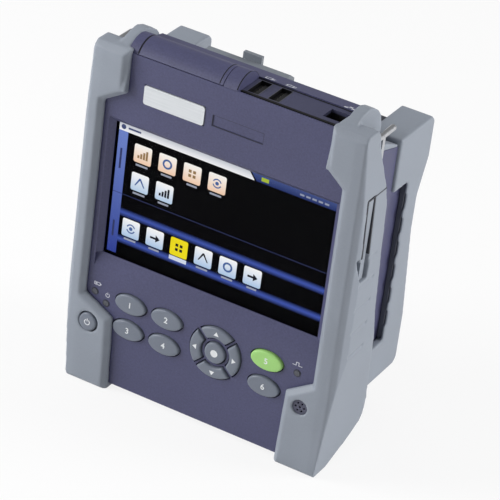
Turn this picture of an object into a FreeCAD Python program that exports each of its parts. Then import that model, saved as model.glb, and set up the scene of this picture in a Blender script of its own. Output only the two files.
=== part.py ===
"""Handheld optical time domain reflectometer with a plug-in optical module.

The document holds one sheet of sizes in millimetres. Every piece is bound to it.
X is to the user's right, Y is away from the user and Z is up. While it is drawn, the flat front
panel lies at Y 0 and the feet at Z 0. Each piece's placement then moves it back along Y, so that
the origin is below the middle of the whole instrument.
"""
import FreeCAD, Part
import math
import os
import Sketcher
from FreeCAD import Placement, Rotation, Vector

# ---------------------------------------------------------------------------------------------
# Driving sizes
# ---------------------------------------------------------------------------------------------
SIZES = {
    # moulded case, in two halves that part behind the front panel
    "case_half": 62.6, "case_low": 2.5, "case_deep": 36.8, "parting": 19.0,
    "wall": 2.4, "front_wall": 3.4, "panel_top": 167.3, "head_half": 51.6,
    "core_half": 55.4, "core_top": 165.0, "wing_top": 152.5, "wing_back": 148.2,
    "wing_break": 20.7, "cavity_top": 146.5, "strip_back": 28.5, "strip_top": 165.5,
    "strip_low": 154.6, "strip_low_y": 33.6, "back_top": 149.0, "core_back": 25.5,
    "base_bevel": 3.5, "fit": 0.2, "joint_gap": 0.35, "core_slope_y": 31.6,
    "core_slope_z": 156.0, "core_foot_y": 32.4, "head_lap": 1.0,
    # rounded crown along the top edge
    "crown_front": 0.3, "crown_back": 18.9, "crown_rise": 5.4, "crown_strip": -47.2,
    "crown_block": -4.6,
    # display
    "screen_x": -0.4, "screen_z": 98.9, "window_half_x": 54.6, "window_half_z": 33.0,
    "window_bevel": 2.4, "sill_tall": 6.6, "glass_front": 2.8, "glass_thick": 1.4, "glass_half_x": 57.0,
    "glass_half_z": 35.4, "lcd_half_x": 59.0, "lcd_half_z": 37.5, "lcd_thick": 4.6,
    # keys
    "key_half_x": 8.0, "key_half_z": 4.7, "key_gap": 0.5, "key_proud": 1.4, "key_deep": 5.4,
    "key_flange": 0.8, "flange_front": 3.8, "key_left_x": -36.6, "key_mid_x": -17.8,
    "key_right_x": 33.3, "key_high_z": 46.7, "key_low_z": 33.5, "key_crown": 0.7,
    "pad_x": 7.8, "pad_z": 40.1, "pad_outer": 12.8, "pad_inner": 7.3, "pad_slit": 1.9,
    "centre_key": 5.2, "power_x": -55.6, "power_z": 32.0, "power_half": 4.5, "power_stem": 2.5,
    "power_proud": 0.5, "mat_front": 6.6, "mat_back": 8.4, "mat_dome": 2.2,
    "mat_left": -59.4, "mat_right": 43.2, "mat_low": 26.0, "mat_under": 3.0,
    # status lights
    "light_half": 1.35, "light_proud": 0.3, "light_flange": 2.0,
    "light_a_x": -55.6, "light_a_z": 46.4, "light_b_x": -49.4, "light_b_z": 42.4,
    "light_c_x": 48.3, "light_c_z": 46.4,
    # plate and name recess
    "plate_left": -41.6, "plate_right": -11.6, "plate_low": 146.0, "plate_high": 155.0,
    "plate_thick": 1.0, "plate_sink": 0.6, "plate_round": 1.2,
    "name_left": -7.8, "name_right": 17.5, "name_low": 147.4, "name_high": 152.9, "name_sink": 0.4,
    # rubber bumpers at the front corners
    "bumper_proud": 4.0, "bumper_side": 7.0, "bumper_in": 41.0, "inner_low": 43.5,
    "inner_step": 44.8, "inner_left": 59.7, "inner_right": 57.2, "step_low": 37.0, "step_high": 45.2,
    "notch_low": 142.0, "notch_high": 148.5, "inner_top": 49.2, "inner_bevel": 2.4,
    "side_low": 60.0, "side_high": 102.0, "waist_z": 138.0, "waist_in": 1.3,
    "foot_in": 5.0, "shoulder_in": 3.2, "shoulder_top": 169.3, "shelf_back": 6.8,
    "arch_half": 57.2, "arch_in_front": 0.8, "arch_in_back": 7.0, "arch_low": 149.5,
    "round_front": 8.1, "round_near": 3.4, "round_mid": 1.2, "round_near_y": 0.4,
    "round_mid_y": 2.4, "round_end_y": 6.6, "lip": 1.3, "relief_in": 9.6,
    "beyond": 3.0,
    # grille in the right bumper
    "grille_x": 53.35, "grille_z": 32.5, "grille_half": 3.7, "grille_sink": 0.8,
    "grille_thick": 1.2, "grille_hole": 0.45, "grille_ring": 2.1, "sound_hole": 2.4,
    # connectors in the top
    "bay_left": 2.2, "bay_front": 1.0, "bay_ledge": 165.0, "groove_low": 163.2,
    "plate_front": 3.4, "plate_back": 18.8, "port_top": 166.6, "socket_left": 3.8,
    "socket_right": 53.0, "socket_front": 4.5, "socket_back": 18.2, "hollow_top": 161.4,
    "usb_a_x": 7.0, "usb_b_x": 17.0, "port_y": 11.3, "usb_wide": 5.7, "usb_long": 13.1,
    "usb_tall": 13.0, "shell_wall": 0.35, "usb_deep": 10.5, "tongue_thick": 1.9,
    "tongue_long": 11.1, "tongue_sink": 1.2, "tongue_off": 0.6, "net_x": 45.4, "net_wide": 14.6,
    "net_long": 13.0, "net_tall": 14.0, "mouth_x": 11.7, "mouth_y": 8.2, "mouth_deep": 11.5,
    "latch_x": 6.0, "latch_y": 1.6,
    "well_left": -46.2, "well_right": -5.8, "well_front": 1.8, "well_back": 15.6,
    "well_floor": 150.0, "door_left": -46.9, "door_right": -4.9, "door_low": 167.6,
    "door_rise": 5.1, "door_skin": 1.7, "hinge_y": 16.9, "hinge_z": 168.2, "hinge_pin": 0.6,
    "hinge_play": 0.06, "hinge_sweep": 2.05, "hinge_end": 2.4,
    "locator_x": -34.0, "meter_x": -17.0, "adapter_y": 8.8, "adapter_half": 4.2,
    "adapter_flange": 5.4, "flange_tall": 2.0, "adapter_tall": 12.0, "ferrule_bore": 1.25,
    "bore_deep": 9.0, "nose_half": 2.5, "nose_tall": 4.5,
    # strap hooks
    "hook_in": 5.1, "hook_z": 163.35, "hook_half": 1.4, "hook_root": 3.0, "hook_end": 25.4,
    "leg_in": 1.2, "leg_out": 3.0, "leg_front": 13.2, "leg_back": 15.6,
    "pad_front": 16.0, "pad_crest": 25.0, "pad_tall": 2.0,
    # stylus and grip lines in the right bumper
    "slot_front": 1.9, "slot_back": 8.9, "slot_sink": 4.8, "slot_top": 138.6, "notch_front": -1.0,
    "notch_back": 9.7, "notch_high_z": 111.0, "notch_mid_z": 105.2, "notch_low_z": 98.8,
    "notch_tip": 3.2, "stylus_gap": 0.9, "stylus_sink": 1.4, "stylus_float": 0.3,
    "stylus_waist": 108.4, "tail_front": 3.8, "tail_back": 7.6, "stylus_edge": 0.6,
    "rib_low": 61.9, "rib_pitch": 11.6, "rib_tall": 1.6, "rib_sink": 0.6, "rib_front": 2.5,
    "rib_back": 16.5, "seam": 0.6, "seam_sink": 0.7,
    # inside of the case
    "screw_x": 56.6, "screw_low": 9.6, "screw_high": 141.4, "boss_half": 3.2, "screw_half": 1.3,
    "head_radius": 2.6, "head_thick": 2.0, "screw_tip": 8.0, "post_half": 2.2, "post_x": 46.0,
    "post_low": 18.0, "post_under": 5.0, "board_front": 10.0, "board_thick": 1.6,
    "board_half": 59.4, "board_low": 14.0, "board_high": 134.0, "small_screw": 1.0,
    "small_head": 2.0, "small_thick": 1.4, "small_tip": 5.0,
    "speaker_x": 51.0, "speaker_half": 6.6, "speaker_thick": 4.0,
    "rear_wall": 3.4, "battery_half": 37.0, "battery_low": 14.0, "battery_high": 60.0,
    "battery_thick": 12.0, "battery_play": 0.6, "cover_rim": 2.4, "cover_thick": 2.0, "inlet_z": 88.0,
    "inlet_y": 29.0, "inlet_half": 4.0, "inlet_bore": 2.75, "inlet_pin": 1.05,
    "inlet_long": 11.0, "inlet_deep": 9.0, "dock_half": 24.0, "dock_low": 95.0,
    "dock_high": 105.0, "dock_deep": 7.0, "dock_wall": 1.3, "dock_plug": 3.6, "plug_gap": 0.5,
    # plug-in module
    "module_half": 60.2, "module_low": 27.0, "module_top": 146.5, "module_gap": 0.35,
    "module_split": 16.7, "module_back": 24.4, "guard_half": 64.0, "guard_in": 48.2,
    "guard_back": 32.3, "guard_waist": 26.1, "guard_low": 25.0, "guard_top": 151.4,
    "guard_high_z": 131.0, "guard_waist_high": 114.0, "guard_waist_low": 97.0,
    "guard_low_z": 51.0, "guard_round": 2.4, "grip_low": 44.6, "grip_high": 125.6,
    "grip_back": 13.8, "scallop_half": 4.6, "scallop_deep": 1.3, "scallop_flat": 3.0,
    "scallop_pitch": 11.85, "scallop_low": 56.2, "skin": 1.2, "strip_sink": 1.0,
    "strip_deep": 3.4,
    "lid_left": -44.3, "lid_right": -0.4, "lid_front": 2.2, "lid_back": 21.6, "lid_low": 146.9,
    "lid_top": 151.6, "lid_wall": 1.6, "tab_left": -26.2, "tab_right": -16.8, "tab_top": 154.8,
    "tab_front": 20.4, "tab_back": 22.6, "lid_pin_y": 4.4, "lid_pin_z": 148.6,
    "lid_sweep": 3.2, "lug_thick": 1.7, "lug_half": 2.0, "nest_floor": 131.0,
    "nest_front": 4.8, "nest_back": 14.8, "optic_y": 9.8, "optic_a_x": -33.0,
    "optic_b_x": -12.0, "optic_half": 3.9, "optic_flange": 4.7, "optic_tall": 11.0,
    "thumb_x": 44.0, "thumb_z": 70.0, "thumb_half": 3.6, "thumb_tall": 3.0, "thumb_stem": 1.5,
    "thumb_reach": 3.0, "module_board_x": 40.0, "module_post_x": 34.0, "module_post_low": 52.0,
    "module_post_high": 116.0, "module_board_low": 44.0,
    "module_board_high": 124.0, "module_board_y": 7.2,
}

# Rear edge of a bumper's side, from the shoulder down, as Y and Z.
SIDE_EDGE = [
    (8.8, 166.3), (10.8, 157.8), (18.9, 138.0), (21.0, 129.0), (21.1, 102.8), (24.0, 75.7),
    (27.4, 60.5), (31.0, 45.0), (34.3, 31.7), (36.8, 23.2), (37.0, 16.2),
]
# Top of the arch that a bumper throws over the case, from the front to the back.
ARCH_EDGE = [
    (-0.5, 167.5), (3.0, 169.8), (7.0, 171.5), (11.0, 172.7), (15.0, 173.0), (19.5, 171.6),
    (24.0, 168.8), (27.0, 165.4), (28.4, 161.0), (28.8, 155.0), (28.8, 149.5),
]
# Underside of a bumper outside its foot, from the front to the back.
RELIEF_EDGE = [(8.4, 0.0), (15.6, 2.3), (22.8, 5.0), (29.9, 7.9), (34.7, 10.5), (37.0, 14.0)]
for prefix, edge in (("side", SIDE_EDGE), ("arch", ARCH_EDGE), ("relief", RELIEF_EDGE)):
    for number, (y, z) in enumerate(edge):
        SIZES[f"{prefix}_{number}_y"] = y
        SIZES[f"{prefix}_{number}_z"] = z


class Size:
    """A length with its value and the spreadsheet expression that gives it."""

    def __init__(self, value, text):
        self.value = float(value)
        self.text = text

    def __add__(self, other):
        other = as_size(other)
        return Size(self.value + other.value, f"({self.text} + {other.text})")

    def __sub__(self, other):
        other = as_size(other)
        return Size(self.value - other.value, f"({self.text} - {other.text})")

    def __mul__(self, other):
        other = as_size(other)
        return Size(self.value * other.value, f"({self.text} * {other.text})")

    def __truediv__(self, other):
        other = as_size(other)
        return Size(self.value / other.value, f"({self.text} / {other.text})")

    def __neg__(self):
        return Size(-self.value, f"(0 - {self.text})")

    def __radd__(self, other):
        return as_size(other) + self

    def __rsub__(self, other):
        return as_size(other) - self

    def __rmul__(self, other):
        return as_size(other) * self


def as_size(length):
    """A plain number or a Size, as a Size."""
    return length if isinstance(length, Size) else Size(length, repr(float(length)))


class Sizes:
    """The spreadsheet's cells by name."""


doc = FreeCAD.newDocument("OpticalTester")
sheet = doc.addObject("Spreadsheet::Sheet", "Sizes")
s = Sizes()
for row, (alias, number) in enumerate(SIZES.items(), start=1):
    sheet.set(f"A{row}", alias)
    sheet.set(f"B{row}", str(number))
    sheet.setAlias(f"B{row}", alias)
    setattr(s, alias, Size(number, f"Sizes.{alias}"))
doc.recompute()

# The module plugs onto the back of the case, so its places along Y are written from there.
FROM_CASE_BACK = (
    "module_split", "module_back", "module_board_y", "guard_back", "guard_waist", "grip_back",
    "lid_front", "lid_back", "lid_pin_y", "tab_front", "tab_back", "nest_front", "nest_back",
    "optic_y",
)
for alias in FROM_CASE_BACK:
    setattr(s, alias, s.case_deep + getattr(s, alias))

# The instrument reaches from the front of the power key to the back of the module's guards.
MIDDLE_Y = (s.guard_back - s.bumper_proud - s.power_proud) / 2
# The bumpers' rubber is laid on the case's sides, and hooks and stylus sit in it.
BUMPER_HALF = s.case_half + s.bumper_side
# The upper posts for the board stand below the display, and the key mat ends below them.
POST_HIGH = s.screen_z - s.lcd_half_z - s.post_under
MAT_HIGH = POST_HIGH - s.mat_under
NODES = {}


# ---------------------------------------------------------------------------------------------
# Sketches, pads, pockets and primitives tied to the sheet
# ---------------------------------------------------------------------------------------------
def tie(thing, path, length):
    """Binds one property of an object to a length's expression."""
    thing.setExpression(path, as_size(length).text)


def finish(thing, node):
    """Makes an object a sub-part of the instrument under its own name."""
    thing.Label = node
    drawn = {path.lstrip("."): text for path, text in thing.ExpressionEngine}
    start = Size(thing.Placement.Base.y, drawn.get("Placement.Base.y", "0"))
    tie(thing, "Placement.Base.y", start - MIDDLE_Y)
    NODES[node] = thing
    return thing


def new_body(name):
    """An empty body."""
    return doc.addObject("PartDesign::Body", name)


def pin_point(sketch, curve, end, x, y):
    """Holds one point of a sketch curve at X, Y of the sketch."""
    for kind, length in (("DistanceX", x), ("DistanceY", y)):
        length = as_size(length)
        index = sketch.addConstraint(Sketcher.Constraint(kind, -1, 1, curve, end, length.value))
        tie(sketch, f"Constraints[{index}]", length)


def polygon(points):
    """A closed outline of straight lines."""
    def draw(sketch):
        count = len(points)
        corner = [Vector(as_size(x).value, as_size(y).value, 0) for x, y in points]
        first = sketch.GeometryCount
        for i in range(count):
            sketch.addGeometry(Part.LineSegment(corner[i], corner[(i + 1) % count]), False)
        for i in range(count):
            following = first + (i + 1) % count
            sketch.addConstraint(Sketcher.Constraint("Coincident", first + i, 2, following, 1))
        for i, (x, y) in enumerate(points):
            pin_point(sketch, first + i, 1, x, y)
    return draw


def rectangle(left, right, low, high):
    """An upright rectangle between its four sides."""
    return polygon([(left, low), (right, low), (right, high), (left, high)])


def disc(x, y, radius):
    """A circle."""
    def draw(sketch):
        centre = Vector(as_size(x).value, as_size(y).value, 0)
        circle = Part.Circle(centre, Vector(0, 0, 1), as_size(radius).value)
        index = sketch.addGeometry(circle, False)
        pin_point(sketch, index, 3, x, y)
        held = sketch.addConstraint(
            Sketcher.Constraint("Radius", index, as_size(radius).value))
        tie(sketch, f"Constraints[{held}]", radius)
    return draw


def oval(x, y, half_x, half_y):
    """An ellipse with its long axis level."""
    def draw(sketch):
        cx, cy = as_size(x).value, as_size(y).value
        long_end = Vector(cx + as_size(half_x).value, cy, 0)
        short_end = Vector(cx, cy + as_size(half_y).value, 0)
        index = sketch.addGeometry(Part.Ellipse(long_end, short_end, Vector(cx, cy, 0)), False)
        sketch.exposeInternalGeometry(index)
        pin_point(sketch, index, 3, x, y)
        sketch.addConstraint(Sketcher.Constraint("Horizontal", index + 1))
        for line, half in ((index + 1, half_x), (index + 2, half_y)):
            length = as_size(half) * 2
            held = sketch.addConstraint(Sketcher.Constraint("Distance", line, length.value))
            tie(sketch, f"Constraints[{held}]", length)
    return draw


def bow(left, right, low, rise):
    """The cap of a circle that stands on a level chord: from its left end to its right end."""
    def draw(sketch):
        half = (as_size(right) - left) / 2
        radius = (half * half + as_size(rise) * rise) / (as_size(rise) * 2)
        middle_x = as_size(left) + half
        middle_y = as_size(low) + rise - radius
        begin = Vector(as_size(left).value, as_size(low).value, 0)
        end = Vector(as_size(right).value, as_size(low).value, 0)
        top = Vector(middle_x.value, as_size(low).value + as_size(rise).value, 0)
        arc = sketch.addGeometry(Part.Arc(end, top, begin), False)
        chord = sketch.addGeometry(Part.LineSegment(begin, end), False)
        sketch.addConstraint(Sketcher.Constraint("Coincident", arc, 2, chord, 1))
        sketch.addConstraint(Sketcher.Constraint("Coincident", arc, 1, chord, 2))
        pin_point(sketch, chord, 1, left, low)
        pin_point(sketch, chord, 2, right, low)
        held = sketch.addConstraint(Sketcher.Constraint("Radius", arc, radius.value))
        tie(sketch, f"Constraints[{held}]", radius)
    return draw


PLANES = {"X": "YZ_Plane", "Y": "XZ_Plane", "Z": "XY_Plane"}


def extrude(body, name, axis, start, end, outlines, cut=False):
    """Adds or cuts the outlines' area between two places along an axis."""
    start, end = as_size(start), as_size(end)
    if end.value < start.value:
        start, end = end, start
    sketch = body.newObject("Sketcher::SketchObject", f"{name}_sketch")
    plane = [f for f in body.Origin.OriginFeatures if f.Role == PLANES[axis]][0]
    sketch.AttachmentSupport = [(plane, "")]
    sketch.MapMode = "FlatFace"
    tie(sketch, "AttachmentOffset.Base.z", -start if axis == "Y" else start)
    for draw in outlines:
        draw(sketch)
    kind = "PartDesign::Pocket" if cut else "PartDesign::Pad"
    feature = body.newObject(kind, name)
    feature.Profile = sketch
    tie(feature, "Length", end - start)
    feature.Reversed = (axis == "Y") != cut
    sketch.Visibility = False
    return feature


def straight_edges(body, axis, places, near=0.02):
    """Names of the body's straight edges along an axis that pass through one of the places."""
    doc.recompute()
    along = {"X": Vector(1, 0, 0), "Y": Vector(0, 1, 0), "Z": Vector(0, 0, 1)}[axis]
    kept = [i for i in range(3) if "XYZ"[i] != axis]
    names = []
    for number, edge in enumerate(body.Shape.Edges, start=1):
        if edge.Curve.TypeId != "Part::GeomLine":
            continue
        if abs(abs(edge.Curve.Direction.dot(along)) - 1) > 1e-6:
            continue
        point = edge.valueAt(edge.FirstParameter)
        for place in places:
            wanted = [as_size(length).value for length in place]
            if all(abs(point[k] - w) < near for k, w in zip(kept, wanted)):
                names.append(f"Edge{number}")
    return names


def dress(body, kind, name, radius, edges):
    """A fillet or a chamfer on named edges of a body."""
    if not edges:
        raise RuntimeError(f"{name}: no edge found")
    base = body.Tip
    feature = body.newObject(f"PartDesign::{kind}", name)
    feature.Base = (base, edges)
    tie(feature, "Radius" if kind == "Fillet" else "Size", radius)
    return feature


TURN = {"X": Rotation(Vector(0, 1, 0), 90), "Y": Rotation(Vector(1, 0, 0), -90), "Z": Rotation()}


def placed(thing, x, y, z, turn=None):
    """Puts an object at a bound place."""
    thing.Placement = Placement(Vector(), turn or Rotation())
    for letter, length in zip("xyz", (x, y, z)):
        tie(thing, f"Placement.Base.{letter}", length)
    return thing


def rod(name, axis, radius, length, x, y, z):
    """A round bar that starts at a point and runs along an axis."""
    bar = doc.addObject("Part::Cylinder", name)
    tie(bar, "Radius", radius)
    tie(bar, "Height", length)
    return placed(bar, x, y, z, TURN[axis])


def block(name, x, y, z, x_end, y_end, z_end):
    """A box between two corners."""
    made = doc.addObject("Part::Box", name)
    tie(made, "Length", as_size(x_end) - x)
    tie(made, "Width", as_size(y_end) - y)
    tie(made, "Height", as_size(z_end) - z)
    return placed(made, x, y, z)


def cut(name, base, tool):
    """Base less tool."""
    made = doc.addObject("Part::Cut", name)
    made.Base = base
    made.Tool = tool
    return made


def fuse(name, things):
    """Several objects as one."""
    made = doc.addObject("Part::MultiFuse", name)
    made.Shapes = things
    return made


def group(name, things):
    """Several separate solids in one object."""
    made = doc.addObject("Part::Compound", name)
    made.Links = things
    return made


def level_edges(body, axis, level, near=0.01):
    """Names of the body's edges that lie wholly at one level of an axis."""
    doc.recompute()
    wanted = as_size(level).value
    names = []
    for number, edge in enumerate(body.Shape.Edges, start=1):
        box = edge.BoundBox
        low, high = {"X": (box.XMin, box.XMax), "Y": (box.YMin, box.YMax),
                     "Z": (box.ZMin, box.ZMax)}[axis]
        if abs(low - wanted) < near and abs(high - wanted) < near:
            names.append(f"Edge{number}")
    return names


def mirrored(side, points):
    """Outline points with X turned to one side of the instrument."""
    return [(as_size(x) * side, y) for x, y in points]


# ---------------------------------------------------------------------------------------------
# Case: one outer form, parted into the front and the rear housing
# ---------------------------------------------------------------------------------------------
OUT = s.beyond
ABOVE = s.arch_4_z + OUT
inside = s.case_half - s.wall
module_front = s.case_deep + s.module_gap
rear_inner = s.case_deep - s.rear_wall

form = new_body("case_form")
extrude(form, "wings", "Y", 0, s.case_deep,
        [rectangle(-s.case_half, s.case_half, s.case_low, s.wing_top)])
dress(form, "Chamfer", "base_bevels", s.base_bevel,
      straight_edges(form, "Y", [(s.case_half, s.case_low), (-s.case_half, s.case_low)]))
extrude(form, "wing_slopes", "X", -s.case_half - OUT, s.case_half + OUT,
        [polygon([(s.wing_break, s.wing_top), (s.case_deep, s.wing_back),
                  (s.case_deep + OUT, s.wing_back), (s.case_deep + OUT, s.wing_top + OUT),
                  (s.wing_break, s.wing_top + OUT)])], cut=True)
extrude(form, "core", "X", -s.core_half, s.core_half,
        [polygon([(0, s.cavity_top - OUT), (0, s.core_top), (s.core_back, s.core_top),
                  (s.core_slope_y, s.core_slope_z), (s.core_foot_y, s.arch_low),
                  (s.core_foot_y, s.cavity_top - OUT)])])
extrude(form, "head", "X", -s.head_half, s.head_half,
        [polygon([(0, s.cavity_top - OUT), (0, s.panel_top), (s.parting, s.panel_top),
                  (s.strip_back, s.strip_top), (s.strip_low_y, s.strip_low),
                  (s.case_deep, s.back_top), (s.case_deep, s.cavity_top - OUT)])])
crown = bow(s.crown_front, s.crown_back, s.panel_top, s.crown_rise)
extrude(form, "crown_end", "X", -s.head_half, s.crown_strip, [crown])
extrude(form, "crown_block", "X", s.crown_block, s.bay_left, [crown])

bosses = [disc(side * s.screw_x, z, s.boss_half)
          for side in (-1, 1) for z in (s.screw_low, s.screw_high)]
posts = [disc(side * s.post_x, z, s.post_half)
         for side in (-1, 1) for z in (s.post_low, POST_HIGH)]
room = rectangle(-inside, inside, s.case_low + s.wall, s.cavity_top)

# Everything that is hollow in the front housing
hollow = new_body("front_hollow")
hollow.AllowCompound = True
extrude(hollow, "low_room", "Y", s.front_wall, s.board_front, [room] + bosses + posts)
extrude(hollow, "deep_room", "Y", s.board_front, s.parting + OUT, [room] + bosses)
extrude(hollow, "connector_room", "Y", s.front_wall, s.parting + OUT,
        [rectangle(s.well_right + s.wall, s.socket_right, s.cavity_top, s.hollow_top)])
extrude(hollow, "socket_slot", "Z", s.hollow_top, s.bay_ledge,
        [rectangle(s.socket_left, s.socket_right, s.socket_front, s.socket_back)])
extrude(hollow, "bay", "Z", s.bay_ledge, ABOVE,
        [rectangle(s.bay_left, s.head_half, s.bay_front, s.parting + OUT)])
extrude(hollow, "bay_groove", "Z", s.groove_low, s.bay_ledge,
        [rectangle(s.bay_left, s.head_half, s.bay_front, s.plate_front)])
extrude(hollow, "door_well", "Z", s.well_floor, s.panel_top + OUT,
        [rectangle(s.well_left, s.well_right, s.well_front, s.well_back)])

window_low = s.screen_z - s.window_half_z
window = new_body("window_tool")
extrude(window, "flare", "Y", -OUT, s.window_bevel,
        [rectangle(s.screen_x - s.window_half_x - s.window_bevel,
                   s.screen_x + s.window_half_x + s.window_bevel,
                   s.screen_z - s.window_half_z - s.window_bevel,
                   s.screen_z + s.window_half_z + s.window_bevel)])
dress(window, "Chamfer", "flare_sides", s.window_bevel,
      level_edges(window, "Y", s.window_bevel))
extrude(window, "sill", "X", s.screen_x - s.window_half_x - s.window_bevel,
        s.screen_x + s.window_half_x + s.window_bevel,
        [polygon([(-OUT, window_low - s.sill_tall), (0, window_low - s.sill_tall),
                  (s.window_bevel, window_low), (-OUT, window_low)])])
extrude(window, "opening", "Y", s.window_bevel - OUT, s.glass_front,
        [rectangle(s.screen_x - s.window_half_x, s.screen_x + s.window_half_x,
                   s.screen_z - s.window_half_z, s.screen_z + s.window_half_z)])
extrude(window, "glass_seat", "Y", s.glass_front, s.front_wall + OUT,
        [rectangle(s.screen_x - s.glass_half_x - s.fit, s.screen_x + s.glass_half_x + s.fit,
                   s.screen_z - s.glass_half_z - s.fit, s.screen_z + s.glass_half_z + s.fit)])

OVAL_KEYS = {
    "key_left_high": (s.key_left_x, s.key_high_z), "key_left_low": (s.key_left_x, s.key_low_z),
    "key_middle_high": (s.key_mid_x, s.key_high_z), "key_middle_low": (s.key_mid_x, s.key_low_z),
    "key_right_high": (s.key_right_x, s.key_high_z), "key_right_low": (s.key_right_x, s.key_low_z),
}
LIGHTS = [(s.light_a_x, s.light_a_z), (s.light_b_x, s.light_b_z), (s.light_c_x, s.light_c_z)]
holes = new_body("panel_holes")
holes.AllowCompound = True
extrude(holes, "key_holes", "Y", -OUT, s.front_wall + OUT,
        [oval(x, z, s.key_half_x + s.key_gap, s.key_half_z + s.key_gap)
         for x, z in OVAL_KEYS.values()]
        + [disc(s.pad_x, s.pad_z, s.centre_key + s.key_gap),
           disc(s.power_x, s.power_z, s.power_stem + s.key_gap),
           disc(s.grille_x, s.grille_z, s.sound_hole)]
        + [disc(x, z, s.light_half + s.fit / 2) for x, z in LIGHTS])
extrude(holes, "plate_recess", "Y", -OUT, s.plate_sink,
        [rectangle(s.plate_left - s.fit, s.plate_right + s.fit,
                   s.plate_low - s.fit, s.plate_high + s.fit)])
extrude(holes, "name_recess", "Y", -OUT, s.name_sink,
        [rectangle(s.name_left, s.name_right, s.name_low, s.name_high)])

# Four arrow keys and their wells are quarters of a ring, parted along the diagonals
ARROWS = {"arrow_right": 0, "arrow_up": 90, "arrow_left": 180, "arrow_down": 270}


def quarter_block(name, angle, offset):
    """A square block whose corner points at the middle of the pad, on one of its four sides."""
    reach = s.pad_outer * 2
    made = doc.addObject("Part::Box", name)
    for path in ("Length", "Width", "Height"):
        tie(made, path, reach)
    shift = offset * math.sqrt(2)
    turn = Rotation(Vector(0, 1, 0), 45 - angle)
    across, up = round(math.cos(math.radians(angle))), round(math.sin(math.radians(angle)))
    return placed(made, s.pad_x + shift * across, -s.pad_outer, s.pad_z + shift * up, turn)


well_ring = new_body("arrow_well_ring")
extrude(well_ring, "ring", "Y", -OUT, s.front_wall + OUT,
        [disc(s.pad_x, s.pad_z, s.pad_outer + s.key_gap),
         disc(s.pad_x, s.pad_z, s.pad_inner - s.key_gap)])
key_ring = new_body("arrow_key_ring")
extrude(key_ring, "ring", "Y", -s.key_proud, s.key_deep,
        [disc(s.pad_x, s.pad_z, s.pad_outer), disc(s.pad_x, s.pad_z, s.pad_inner)])
dress(key_ring, "Fillet", "ring_round", s.key_crown, level_edges(key_ring, "Y", -s.key_proud))
extrude(key_ring, "ring_flange", "Y", s.flange_front, s.flange_front + s.key_flange,
        [disc(s.pad_x, s.pad_z, s.pad_outer + s.key_flange), disc(s.pad_x, s.pad_z, s.pad_inner)])
wells = []
for arrow, angle in ARROWS.items():
    well_block = quarter_block(f"{arrow}_well_block", angle, s.pad_slit / 2 - s.key_gap)
    well = doc.addObject("Part::Common", f"{arrow}_well")
    well.Base, well.Tool = well_ring, well_block
    wells.append(well)
    key = doc.addObject("Part::Common", arrow)
    key.Base, key.Tool = key_ring, quarter_block(f"{arrow}_block", angle, s.pad_slit / 2)
    finish(key, arrow)

hinge_trough = rod("hinge_trough", "X", s.hinge_sweep, s.door_right - s.door_left + s.fit * 2,
                   s.door_left - s.fit, s.hinge_y, s.hinge_z)
pin_left = s.crown_strip - s.hinge_end
pin_length = s.crown_block + s.hinge_end - pin_left
pin_hole = rod("hinge_pin_hole", "X", s.hinge_pin, pin_length, pin_left, s.hinge_y, s.hinge_z)
screw_bore = new_body("case_screw_bores")
screw_bore.AllowCompound = True
extrude(screw_bore, "shanks", "Y", s.screw_tip, s.case_deep + OUT,
        [disc(side * s.screw_x, z, s.screw_half)
         for side in (-1, 1) for z in (s.screw_low, s.screw_high)])
extrude(screw_bore, "heads", "Y", s.case_deep - s.head_thick - s.joint_gap, s.case_deep + OUT,
        [disc(side * s.screw_x, z, s.head_radius + s.fit)
         for side in (-1, 1) for z in (s.screw_low, s.screw_high)])
post_bore = new_body("post_bores")
post_bore.AllowCompound = True
extrude(post_bore, "bores", "Y", s.small_tip, s.board_front + OUT,
        [disc(side * s.post_x, z, s.small_screw)
         for side in (-1, 1) for z in (s.post_low, POST_HIGH)])

front_half = block("front_half", -ABOVE, -OUT, -OUT, ABOVE, s.parting, ABOVE)
front_solid = doc.addObject("Part::Common", "front_solid")
front_solid.Base, front_solid.Tool = form, front_half
finish(cut("front_housing", front_solid,
           fuse("front_tools", [hollow, window, holes, hinge_trough, pin_hole, screw_bore,
                                post_bore] + wells)), "front_housing")

# Everything that is hollow in the rear housing
rear_hollow = new_body("rear_hollow")
rear_hollow.AllowCompound = True
extrude(rear_hollow, "deep_room", "Y", s.parting - OUT, rear_inner, [room] + bosses)
extrude(rear_hollow, "head_room", "X", -s.socket_right, s.socket_right,
        [polygon([(s.parting - OUT, s.cavity_top - s.head_lap), (s.parting - OUT, s.hollow_top),
                  (s.core_back - s.wall / 2, s.hollow_top),
                  (s.core_foot_y - s.wall, s.arch_low + s.wall),
                  (s.core_foot_y - s.wall, s.cavity_top - s.head_lap)])])
extrude(rear_hollow, "battery_door", "Y", rear_inner - OUT, s.case_deep + OUT,
        [rectangle(-s.battery_half - s.battery_play, s.battery_half + s.battery_play,
                   s.battery_low - s.battery_play, s.battery_high + s.battery_play)])
cover_half = s.battery_half + s.battery_play + s.cover_rim
cover_low = s.battery_low - s.battery_play - s.cover_rim
cover_high = s.battery_high + s.battery_play + s.cover_rim
cover_front = s.case_deep - s.cover_thick
extrude(rear_hollow, "cover_recess", "Y", cover_front, s.case_deep + OUT,
        [rectangle(-cover_half, cover_half, cover_low, cover_high)])
extrude(rear_hollow, "dock_slot", "Y", rear_inner - OUT, s.case_deep + OUT,
        [rectangle(-s.dock_half, s.dock_half, s.dock_low, s.dock_high)])
extrude(rear_hollow, "thumb_holes", "Y", rear_inner - OUT, s.case_deep + OUT,
        [disc(side * s.thumb_x, s.thumb_z, s.thumb_stem + s.joint_gap) for side in (-1, 1)])
inlet_hole = rod("inlet_hole", "X", s.inlet_half, s.inlet_long, -s.case_half, s.inlet_y,
                 s.inlet_z)
rear_half = block("rear_half", -ABOVE, s.parting, -OUT, ABOVE,
                  s.case_deep + OUT, ABOVE)
rear_solid = doc.addObject("Part::Common", "rear_solid")
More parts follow.
